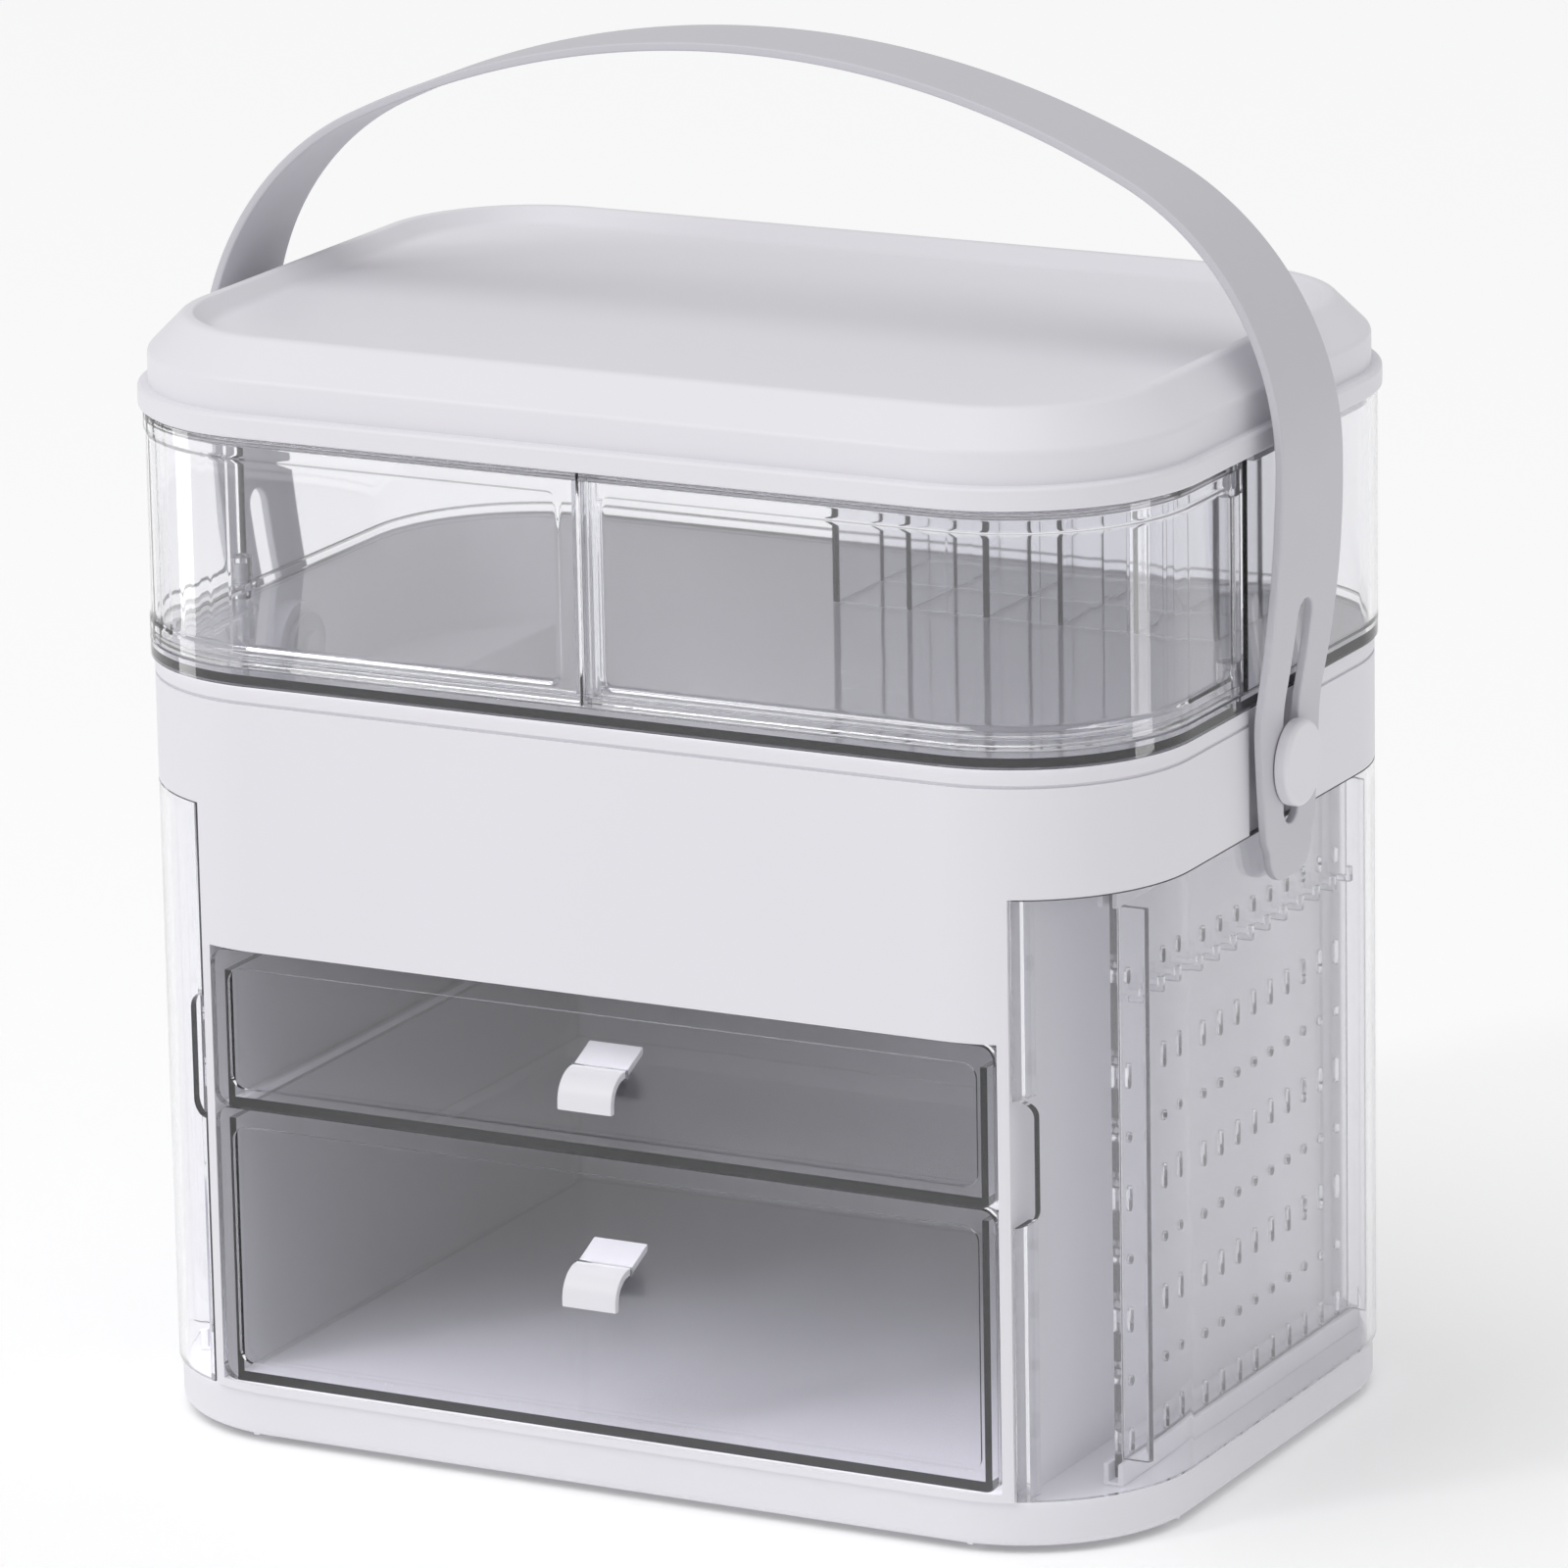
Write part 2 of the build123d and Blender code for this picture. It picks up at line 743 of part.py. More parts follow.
with BuildPart() as door_pins_right:
    for low, high in (
        (tray_top - door_pin_in_frame + pin_end_gap, door_bottom + door_pin_in_door),
        (door_top - door_pin_in_door, lid_bottom + liner_thickness - pin_end_gap),
    ):
        with BuildSketch(Plane.XY.offset(low)):
            with Locations((door_pivot_x, door_pivot_y)):
                Circle(door_pin_radius)
        extrude(amount=high - low)
finish("door_pins_right", door_pins_right)
finish("door_pins_left", mirrored(door_pins_right))

# ---------------------------------------------------------------- lid

liner_inset = lid_wall
dish_z = lid_top - dish_depth

# the hollow under the top, which follows the crest's slope a wall's thickness inside it
ceiling_z = dish_z - lid_wall
cavity_slope = crest_slope - dish_depth - 2 * lid_wall + lid_wall * math.sqrt(2)

with BuildPart() as lid_cavity:
    with BuildSketch(Plane.XY.offset(lid_bottom)):
        lid_outline(skirt_inset + lid_wall)
    extrude(amount=ceiling_z - lid_bottom)
    chamfer(lid_cavity.edges().group_by(Axis.Z)[-1], length=cavity_slope)

with BuildPart() as lid_shell:
    with BuildSketch(Plane.XY.offset(lid_bottom)):
        lid_outline(0)
    extrude(amount=flange_height)
    fillet(lid_shell.edges().group_by(Axis.Z)[-1], radius=flange_edge)
    with BuildSketch(Plane.XY.offset(lid_bottom)):
        lid_outline(skirt_inset)
    extrude(amount=lid_height)
    chamfer(lid_shell.edges().group_by(Axis.Z)[-1], length=crest_slope)
    crest_foot = lid_top - crest_slope
    for height, radius in ((lid_top, crest_upper_round), (crest_foot, crest_lower_round)):
        fillet(
            lid_shell.edges().filter_by_position(
                Axis.Z, height - pick_margin, height + pick_margin
            ),
            radius=radius,
        )
    # dished top
    with BuildSketch(Plane.XY.offset(lid_top)):
        lid_outline(dish_inset)
    extrude(amount=-dish_depth, taper=dish_slope, mode=Mode.SUBTRACT)
    fillet(
        lid_shell.edges().filter_by_position(
            Axis.Z, dish_z - pick_margin, dish_z + pick_margin
        ),
        radius=dish_floor_round,
    )
    # hollow underside, with a ledge that the liner seats against
    with BuildSketch(Plane.XY.offset(lid_bottom)):
        lid_outline(liner_inset)
    extrude(amount=liner_thickness, mode=Mode.SUBTRACT)
    add(lid_cavity.part, mode=Mode.SUBTRACT)
finish("lid_shell", lid_shell)

with BuildPart() as lid_liner:
    with BuildSketch(Plane.XY.offset(lid_bottom)):
        lid_outline(liner_inset)
    extrude(amount=liner_thickness)
    # a rib that locates the lid inside the rear window
    with BuildSketch(Plane.XY.offset(lid_bottom)):
        upper_outline(window_wall + liner_rib_gap)
        upper_outline(window_wall + liner_rib_gap + liner_rib_width, mode=Mode.SUBTRACT)
        span(-upper_width / 2, upper_width / 2, liner_rib_front, upper_depth / 2,
             mode=Mode.INTERSECT)
    extrude(amount=-liner_rib_height)
    with BuildSketch(Plane.XY.offset(lid_bottom)):
        with GridLocations(2 * door_pivot_x, 0, 2, 1):
            with Locations((0, door_pivot_y)):
                Circle(door_pin_radius + door_pin_play)
    extrude(amount=liner_thickness, mode=Mode.SUBTRACT)
finish("lid_liner", lid_liner)

# ---------------------------------------------------------------- lipstick organiser

organiser_z = band_top + tray_floor
organiser_right = upper_width / 2 - organiser_side_gap
organiser_left = organiser_right - organiser_columns * organiser_pitch_x
organiser_back = upper_depth / 2 - organiser_back_gap
organiser_front = organiser_back - organiser_rows * organiser_pitch_y

with BuildPart() as organiser_long_walls:
    for row in range(organiser_rows + 1):
        wall_y = organiser_front + row * organiser_pitch_y
        block(
            (organiser_left, wall_y - organiser_wall / 2, organiser_z),
            (organiser_right, wall_y + organiser_wall / 2, organiser_z + organiser_height),
        )
finish("organiser_long_walls", organiser_long_walls)

with BuildPart() as organiser_cross_walls:
    for row in range(organiser_rows):
        low_y = organiser_front + row * organiser_pitch_y + organiser_wall / 2
        high_y = low_y + organiser_pitch_y - organiser_wall
        for column in range(organiser_columns + 1):
            wall_x = organiser_left + column * organiser_pitch_x
            nudge = organiser_wall / 2 * (1 if column == 0 else -1)
            if 0 < column < organiser_columns:
                nudge = 0
            block(
                (wall_x + nudge - organiser_wall / 2, low_y, organiser_z),
                (
                    wall_x + nudge + organiser_wall / 2,
                    high_y,
                    organiser_z + organiser_height,
                ),
            )
finish("organiser_cross_walls", organiser_cross_walls)

# ---------------------------------------------------------------- handle

handle_top = lid_top + handle_reach
leg_outer_x = case_width / 2 + leg_gap
handle_half_width = leg_outer_x + handle_bulge
leg_end_z = pivot_z - leg_end_drop
handle_slot_bottom = pivot_z - handle_slot_drop
widest_z = pivot_z + widest_rise
shoulder_level_z = handle_top - shoulder_level_drop

# The strap's outer line is a chain of tangent arcs: crown, shoulder, bulge, leg return.
crown_z = handle_top - crown_radius
shoulder_x = handle_half_width - shoulder_radius
shoulder_z = crown_z + math.sqrt((crown_radius - shoulder_radius) ** 2 - shoulder_x**2)
bulge_x = handle_half_width - bulge_radius
return_x = leg_outer_x + leg_return_radius
return_z = shoulder_z - math.sqrt(
    (bulge_radius + leg_return_radius) ** 2 - (return_x - bulge_x) ** 2
)
crown_turn = math.degrees(math.asin(shoulder_x / (crown_radius - shoulder_radius)))
bulge_turn = math.degrees(math.asin((shoulder_z - return_z) / (bulge_radius + leg_return_radius)))


def strap_side(depth):
    """The right half of the strap's line at `depth` inside its outer face, from crown to leg end."""
    crown = CenterArc((0, crown_z), crown_radius - depth, 90, -crown_turn)
    shoulder = CenterArc(
        (shoulder_x, shoulder_z), shoulder_radius - depth, 90 - crown_turn, crown_turn - 90
    )
    bulge = CenterArc((bulge_x, shoulder_z), bulge_radius - depth, 0, -bulge_turn)
    leg_return = CenterArc(
        (return_x, return_z), leg_return_radius + depth, 180 - bulge_turn, bulge_turn
    )
    Line(leg_return @ 1, (leg_outer_x - depth, leg_end_z))
    return crown @ 0


with BuildPart() as handle_strap:
    with BuildSketch(Plane.XZ):
        with BuildLine():
            outer_top = strap_side(0)
            inner_top = strap_side(strap_thickness)
            Line(outer_top, inner_top)
            Line(
                (leg_outer_x, leg_end_z), (leg_outer_x - strap_thickness, leg_end_z)
            )
        make_face()
        mirror(about=Plane.YZ)
    extrude(amount=strap_widest, both=True)
    # the strap's changing width, seen from the side
    with BuildSketch(Plane.YZ):
        with BuildLine():
            edge = Spline(
                (strap_end_width / 2, leg_end_z),
                (strap_widest / 2, widest_z),
                (strap_shoulder_width / 2, shoulder_level_z),
                (strap_crown_width / 2, handle_top),
            )
            Line(edge @ 1, (0, handle_top))
            Line((0, handle_top), (0, leg_end_z))
            Line((0, leg_end_z), edge @ 0)
        make_face()
        mirror(about=Plane.YZ)
    extrude(amount=far, both=True, mode=Mode.INTERSECT)
    # rounded leg ends and the long slots that ride on the buttons
    leg_corners = (
        handle_strap.edges()
        .filter_by(Axis.X)
        .filter_by_position(Axis.Z, leg_end_z - pick_margin, leg_end_z + pick_margin)
    )
    fillet(leg_corners, radius=leg_end_corner)
    with BuildSketch(Plane.YZ):
        with Locations((0, handle_slot_bottom + handle_slot_length / 2)):
            SlotOverall(handle_slot_length, handle_slot_width, rotation=90)
    extrude(amount=far, both=True, mode=Mode.SUBTRACT)
finish("handle_strap", handle_strap)

# ---------------------------------------------------------------- pivot buttons

button_inner_x = leg_outer_x + button_gap
neck_width = handle_slot_width - 2 * neck_gap
collar_start_x = recess_floor_x + collar_gap
collar_end_x = leg_outer_x - strap_thickness - neck_gap
washer_outer_x = bearing_inner_x - washer_gap
washer_inner_x = washer_outer_x - washer_thickness

with BuildPart() as pivot_button_right:
    with BuildSketch(Plane.YZ.offset(button_inner_x)):
        with Locations((0, pivot_z)):
            Circle(button_radius)
    extrude(amount=button_thickness)
    fillet(pivot_button_right.edges().group_by(Axis.X)[-1], radius=button_dome)
    with BuildSketch(Plane.YZ.offset(collar_end_x)):
        with Locations((0, pivot_z)):
            SlotOverall(neck_length, neck_width, rotation=90)
    extrude(amount=button_inner_x - collar_end_x)
    with BuildSketch(Plane.YZ.offset(collar_start_x)):
        with Locations((0, pivot_z)):
            Circle(collar_radius)
    extrude(amount=collar_end_x - collar_start_x)
    with BuildSketch(Plane.YZ.offset(washer_outer_x)):
        with Locations((0, pivot_z)):
            Circle(journal_radius)
    extrude(amount=collar_start_x - washer_outer_x)
    with BuildSketch(Plane.YZ.offset(washer_outer_x)):
        with Locations((0, pivot_z)):
            Circle(pivot_screw_radius)
    extrude(amount=pivot_screw_length - washer_thickness, mode=Mode.SUBTRACT)
finish("pivot_button_right", pivot_button_right)
finish("pivot_button_left", mirrored(pivot_button_right))

with BuildPart() as button_washer_right:
    with BuildSketch(Plane.YZ.offset(washer_inner_x)):
        with Locations((0, pivot_z)):
            Circle(washer_radius)
            Circle(pivot_screw_radius + screw_hole_gap, mode=Mode.SUBTRACT)
    extrude(amount=washer_thickness)
with BuildPart() as button_washers:
    add(button_washer_right.part)
    mirror(button_washer_right.part, about=Plane.YZ)
finish("button_washers", button_washers)

with BuildPart() as pivot_screw_right:
    with BuildSketch(Plane.YZ.offset(washer_inner_x)):
        with Locations((0, pivot_z)):
            Circle(pivot_screw_radius)
    extrude(amount=pivot_screw_length)
    with BuildSketch(Plane.YZ.offset(washer_inner_x)):
        with Locations((0, pivot_z)):
            Circle(pivot_screw_head_radius)
    extrude(amount=-pivot_screw_head_height)
with BuildPart() as pivot_screws:
    add(pivot_screw_right.part)
    mirror(pivot_screw_right.part, about=Plane.YZ)
finish("pivot_screws", pivot_screws)

# ---------------------------------------------------------------- export

os.makedirs("parts", exist_ok=True)
for name, piece in pieces.items():
    export_step(piece, f"parts/{name}.step")
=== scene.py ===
"""Looks of a makeup storage case with a carrying handle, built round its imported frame."""
import json
import logging
import math
from dataclasses import dataclass
from enum import Enum
from typing import Callable, Sequence, Union

import bmesh
import bpy
import numpy as np
from mathutils import Matrix, Vector


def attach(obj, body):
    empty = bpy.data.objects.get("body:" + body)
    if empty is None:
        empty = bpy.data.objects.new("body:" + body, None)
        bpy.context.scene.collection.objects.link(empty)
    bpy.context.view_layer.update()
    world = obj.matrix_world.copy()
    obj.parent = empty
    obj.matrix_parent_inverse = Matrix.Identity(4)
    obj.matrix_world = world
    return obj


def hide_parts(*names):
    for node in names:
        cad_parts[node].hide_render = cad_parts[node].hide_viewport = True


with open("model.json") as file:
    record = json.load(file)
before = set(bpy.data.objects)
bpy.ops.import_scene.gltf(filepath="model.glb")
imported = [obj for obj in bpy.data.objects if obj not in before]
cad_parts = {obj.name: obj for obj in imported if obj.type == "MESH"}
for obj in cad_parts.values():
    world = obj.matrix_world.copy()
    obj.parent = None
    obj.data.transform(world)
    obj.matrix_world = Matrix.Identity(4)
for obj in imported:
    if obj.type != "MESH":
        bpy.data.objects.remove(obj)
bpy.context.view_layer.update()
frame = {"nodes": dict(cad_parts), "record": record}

LOG = logging.getLogger("makeup_case")

Triple = tuple[float, float, float]
Colour = tuple[float, float, float]
Number = Union[int, float, "Value"]
WidthAlong = Callable[[np.ndarray], np.ndarray]

MM = 0.001
NOISE_MIDDLE = 0.5

# The numbers of the Mix node's sockets for colours.
MIX_SHARE, MIX_FIRST, MIX_SECOND, MIX_RESULT = 0, 6, 7, 2

# A plan's outline has nine legs: the straights have even numbers and the corners odd ones.
CORNER_LEGS = (1, 3, 5, 7)
LAST_LEG = 8

# Points closer than these, in millimetres, are merged in new surfaces and in copies of nodes.
SURFACE_MERGE = 0.001
NODE_MERGE = 0.002

# Faces of a node that turn by less than the first angle become one, and edges that turn by more
# than the second are rounded. Both are in degrees.
FLAT_ANGLE = 0.3
EDGE_ANGLE = 35
EDGE_SEGMENTS = 2


# ------------------------------------------------------------------ shader maths


class Value:
    """A number that runs through a material's nodes. Each operator adds one Math node."""

    def __init__(self, shader: "Shader", socket: bpy.types.NodeSocket) -> None:
        """Wraps an output socket of `shader`.

        Args:
            shader: the material under construction.
            socket: the output that carries the number.
        """
        self.shader = shader
        self.socket = socket

    def _math(self, operation: str, *terms: Number, clamp: bool = False) -> "Value":
        """One Math node over `terms`.

        Args:
            operation: Blender's name of the operation.
            terms: its operands in order.
            clamp: whether the result is held between 0 and 1.

        Returns:
            The node's result.
        """
        node = self.shader.add(
            "ShaderNodeMath",
            {"operation": operation, "use_clamp": clamp},
            dict(enumerate(terms)),
        )
        return Value(self.shader, node.outputs[0])

    def __add__(self, other: Number) -> "Value":
        """self + other."""
        return self._math("ADD", self, other)

    def __radd__(self, other: Number) -> "Value":
        """other + self."""
        return self._math("ADD", other, self)

    def __sub__(self, other: Number) -> "Value":
        """self - other."""
        return self._math("SUBTRACT", self, other)

    def __rsub__(self, other: Number) -> "Value":
        """other - self."""
        return self._math("SUBTRACT", other, self)

    def __mul__(self, other: Number) -> "Value":
        """self * other."""
        return self._math("MULTIPLY", self, other)

    def __rmul__(self, other: Number) -> "Value":
        """other * self."""
        return self._math("MULTIPLY", other, self)

    def clamped(self) -> "Value":
        """The value held between 0 and 1."""
        return self._math("ADD", self, 0.0, clamp=True)


class Shader:
    """A material under construction."""

    def __init__(self, name: str) -> None:
        """Starts an empty node material.

        Args:
            name: the material's name.
        """
        self.material = bpy.data.materials.new(name)
        self.material.use_nodes = True
        self.tree = self.material.node_tree
        self.tree.nodes.clear()
        self.place = self.add("ShaderNodeTexCoord").outputs["Object"]

    def add(
        self, kind: str, settings: dict | None = None, inputs: dict | None = None
    ) -> bpy.types.Node:
        """Adds a node.

        Args:
            kind: the node's type.
            settings: its properties, set first.
            inputs: what its sockets get, by name or number: a plain value, a socket or a Value.

        Returns:
            The new node.
        """
        node = self.tree.nodes.new(kind)
        for key, setting in (settings or {}).items():
            setattr(node, key, setting)
        for key, given in (inputs or {}).items():
            if isinstance(given, Value):
                given = given.socket
            if isinstance(given, bpy.types.NodeSocket):
                self.tree.links.new(given, node.inputs[key])
            else:
                node.inputs[key].default_value = given
        return node

    def noise(self, scale: float, detail: float, stretch: Triple = (1.0, 1.0, 1.0)) -> Value:
        """Soft noise over the piece's own coordinates.

        Args:
            scale: features to the metre.
            detail: octaves.
            stretch: how much the coordinates are multiplied on each axis first.

        Returns:
            The noise, round about NOISE_MIDDLE.
        """
        mapped = self.add("ShaderNodeMapping", None, {"Vector": self.place, "Scale": stretch})
        node = self.add(
            "ShaderNodeTexNoise",
            None,
            {"Vector": mapped.outputs[0], "Scale": scale, "Detail": detail},
        )
        return Value(self, node.outputs[0])

    def blend(self, share: Number, first: Colour, second: Colour) -> bpy.types.NodeSocket:
        """A colour between two.

        Args:
            share: 0 for the first, 1 for the second.
            first: a linear colour.
            second: a linear colour.

        Returns:
            The mixed colour's socket.
        """
        node = self.add(
            "ShaderNodeMix",
            {"data_type": "RGBA"},
            {MIX_SHARE: share, MIX_FIRST: (*first, 1.0), MIX_SECOND: (*second, 1.0)},
        )
        return node.outputs[MIX_RESULT]

    def bump(self, height: Value, strength: float, distance: float) -> bpy.types.NodeSocket:
        """A bumped normal.

        Args:
            height: the relief, 0 to 1.
            strength: the share of it that shows.
            distance: its full depth in metres.

        Returns:
            The normal's socket.
        """
        node = self.add(
            "ShaderNodeBump", None, {"Height": height, "Strength": strength, "Distance": distance}
        )
        return node.outputs[0]

    def close(self, surface: bpy.types.NodeSocket) -> bpy.types.Material:
        """Ends the material with its surface shader.

        Args:
            surface: the shader's socket.

        Returns:
            The finished material.
        """
        self.add("ShaderNodeOutputMaterial", None, {"Surface": surface})
        return self.material


# ------------------------------------------------------------------ finishes


@dataclass(frozen=True)
class MouldedPlastic:
    """Opaque satin plastic, with the faint flow shades and fine grain of a moulding.

    Scales are in features to the metre, and the grain's depth is in metres.
    """

    name: str
    light: Colour
    shade: Colour
    roughness: float
    grain: float = 0.05
    grain_depth: float = 0.0001
    refraction: float = 1.49
    flow_scale: float = 11.0
    flow_detail: float = 3.0
    flow_stretch: Triple = (1.0, 1.0, 0.45)
    cloud_scale: float = 70.0
    cloud_detail: float = 2.0
    cloud_swing: float = 0.14
    fine_scale: float = 1900.0
    fine_detail: float = 1.0
    fine_swing: float = 0.06
    fine_share: float = 0.7

    def make(self) -> bpy.types.Material:
        """Builds the material.

        The flow noise picks a colour between light and shade. Cloud and fine noise swing the
        roughness about its middle, and both together raise the grain.

        Returns:
            The material.
        """
        shader = Shader(self.name)
        flow = shader.noise(self.flow_scale, self.flow_detail, self.flow_stretch)
        cloud = shader.noise(self.cloud_scale, self.cloud_detail)
        fine = shader.noise(self.fine_scale, self.fine_detail)
        colour = shader.blend(flow.clamped(), self.light, self.shade)
        clouding = (cloud - NOISE_MIDDLE) * self.cloud_swing
        roughness = self.roughness + clouding + (fine - NOISE_MIDDLE) * self.fine_swing
        relief = fine * self.fine_share + cloud * (1 - self.fine_share)
        body = shader.add(
            "ShaderNodeBsdfPrincipled",
            None,
            {
                "Base Color": colour,
                "Roughness": roughness,
                "Normal": shader.bump(relief, self.grain, self.grain_depth),
                "IOR": self.refraction,
            },
        )
        return shader.close(body.outputs[0])


@dataclass(frozen=True)
class ClearPlastic:
    """Clear or milky plastic that refracts, with faint moulding waves and handling haze.

    Scales are in features to the metre, and the waves' depth is in metres.
    """

    name: str
    colour: Colour
    clearness: float
    roughness: float
    lamp_share: float = 0.985
    refraction: float = 1.5
    haze_scale: float = 28.0
    haze_detail: float = 3.0
    even_haze: float = 0.5
    wave: float = 0.05
    wave_depth: float = 0.002
    wave_scale: float = 16.0
    wave_detail: float = 1.0
    wave_stretch: Triple = (1.0, 1.0, 0.35)

    def make(self) -> bpy.types.Material:
        """Builds the material. Rays from lamps pass through it, so that what is inside is lit.

        Returns:
            The material.
        """
        shader = Shader(self.name)
        haze = shader.noise(self.haze_scale, self.haze_detail)
        waves = shader.noise(self.wave_scale, self.wave_detail, self.wave_stretch)
        body = shader.add(
            "ShaderNodeBsdfPrincipled",
            None,
            {
                "Base Color": (*self.colour, 1.0),
                "Roughness": self.roughness * (self.even_haze + haze),
                "Transmission Weight": self.clearness,
                "IOR": self.refraction,
                "Normal": shader.bump(waves, self.wave, self.wave_depth),
            },
        )
        lamp_ray = shader.add("ShaderNodeLightPath").outputs["Is Shadow Ray"]
        passed = tuple(self.lamp_share * channel for channel in self.colour)
        through = shader.add("ShaderNodeBsdfTransparent", None, {"Color": (*passed, 1.0)})
        mixed = shader.add(
            "ShaderNodeMixShader", None, {0: lamp_ray, 1: body.outputs[0], 2: through.outputs[0]}
        )
        return shader.close(mixed.outputs[0])


@dataclass(frozen=True)
class BrushedSteel:
    """Plain steel of small screws. The scale is in features to the metre."""

    name: str = "screw_steel"
    light: Colour = (0.55, 0.56, 0.58)
    dark: Colour = (0.42, 0.42, 0.44)
    roughness: float = 0.25
    line_swing: float = 0.2
    line_scale: float = 900.0
    line_detail: float = 2.0
    line_stretch: Triple = (1.0, 0.1, 1.0)

    def make(self) -> bpy.types.Material:
        """Builds the material.

        Returns:
            The material.
        """
        shader = Shader(self.name)
        line = shader.noise(self.line_scale, self.line_detail, self.line_stretch)
        body = shader.add(
            "ShaderNodeBsdfPrincipled",
            None,
            {
                "Base Color": shader.blend(line, self.light, self.dark),
                "Metallic": 1.0,
                "Roughness": self.roughness + line * self.line_swing,
            },
        )
        return shader.close(body.outputs[0])


class Finish(Enum):
    """The finishes of the case, each with the record's slot that it belongs to."""

    WHITE = "white_plastic"
    CLEAR = "clear_plastic"
    BOARD = "board_plastic"
    GREY = "grey_plastic"
    RUBBER = "foot_rubber"
    STEEL = "steel"


RECIPES = {
    Finish.WHITE: MouldedPlastic(
        "white_moulding", light=(0.812, 0.802, 0.845), shade=(0.782, 0.773, 0.815), roughness=0.40
    ),
    Finish.CLEAR: ClearPlastic(
        "clear_moulding", colour=(0.968, 0.968, 0.984), clearness=0.985, roughness=0.025
    ),
    Finish.BOARD: ClearPlastic(
        "board_moulding", colour=(0.91, 0.905, 0.93), clearness=0.94, roughness=0.045
    ),
    Finish.GREY: MouldedPlastic(
        "grey_moulding", light=(0.62, 0.612, 0.655), shade=(0.58, 0.572, 0.615), roughness=0.44
    ),
    Finish.RUBBER: MouldedPlastic(
        "foot_rubber_skin",
        light=(0.42, 0.42, 0.43),
        shade=(0.36, 0.36, 0.37),
        roughness=0.75,
        grain=0.2,
    ),
    Finish.STEEL: BrushedSteel(),
}
MATERIALS = {finish: recipe.make() for finish, recipe in RECIPES.items()}
CLEAR_PIECES = bpy.data.collections.new("clear_pieces")
RECORD = frame["record"]
BODY_OF = {node: body for body, nodes in RECORD["behaviour"]["bodies"].items() for node in nodes}
FINISH_OF = {part["node"]: Finish(part["material_slot"]) for part in RECORD["subparts"]}


# ------------------------------------------------------------------ surfaces


def rounded(corners: Sequence[Triple], steps: int = 4) -> np.ndarray:
    """A closed outline whose corners are arcs.

    At each corner the arc touches both sides at radius / tan(half the angle between them) from
    the corner, and its centre lies on the bisector at radius / sin(half that angle).

    Args:
        corners: across, up and radius of each corner, in order.
        steps: facets in each arc.

    Returns:
        The outline's points, one row each.
    """
    points = np.array([corner[:2] for corner in corners], float)
    radii = np.array([corner[2] for corner in corners], float)
    back = np.roll(points, 1, 0) - points
    ahead = np.roll(points, -1, 0) - points
    back /= np.linalg.norm(back, axis=1, keepdims=True)
    ahead /= np.linalg.norm(ahead, axis=1, keepdims=True)
    half = np.arccos(np.clip((back * ahead).sum(1), -1, 1)) / 2
    bisector = back + ahead
    bisector /= np.linalg.norm(bisector, axis=1, keepdims=True)
    centre = points + bisector * (radii / np.sin(half))[:, None]
    first = points + back * (radii / np.tan(half))[:, None] - centre
    last = points + ahead * (radii / np.tan(half))[:, None] - centre
    turn = np.arctan2(first[:, 0] * last[:, 1] - first[:, 1] * last[:, 0], (first * last).sum(1))
    angle = np.linspace(0, 1, steps + 1)[None] * turn[:, None]
    across = first[:, :1] * np.cos(angle) - first[:, 1:] * np.sin(angle)
    up = first[:, :1] * np.sin(angle) + first[:, 1:] * np.cos(angle)
    return (centre[:, None] + np.stack([across, up], -1)).reshape(-1, 2)


def arc(centre: Sequence[float], radius: float, start: float, end: float, count: int) -> np.ndarray:
    """Evenly spaced points of an arc: the centre plus radius times (cos, sin) of each angle."""
    angle = np.linspace(start, end, count)
    return np.array(centre) + radius * np.stack([np.cos(angle), np.sin(angle)], -1)


def graded(start: float, end: float, margin: float, fine: float, coarse: float) -> np.ndarray:
    """Stations from start to end, close together within a margin of both ends and wider between.

    Args:
        start: the first station.
        end: the last one.
        margin: how far the close spacing reaches in from each end.
        fine: the close spacing.
        coarse: the wide spacing.

    Returns:
        The stations in order.
    """
    near = np.arange(start, start + margin, fine)
    steps = max(2, round((end - start - 2 * margin) / coarse))
    middle = np.linspace(start + margin, end - margin, steps)
    return np.concatenate([near, middle, np.sort(start + end - near)])


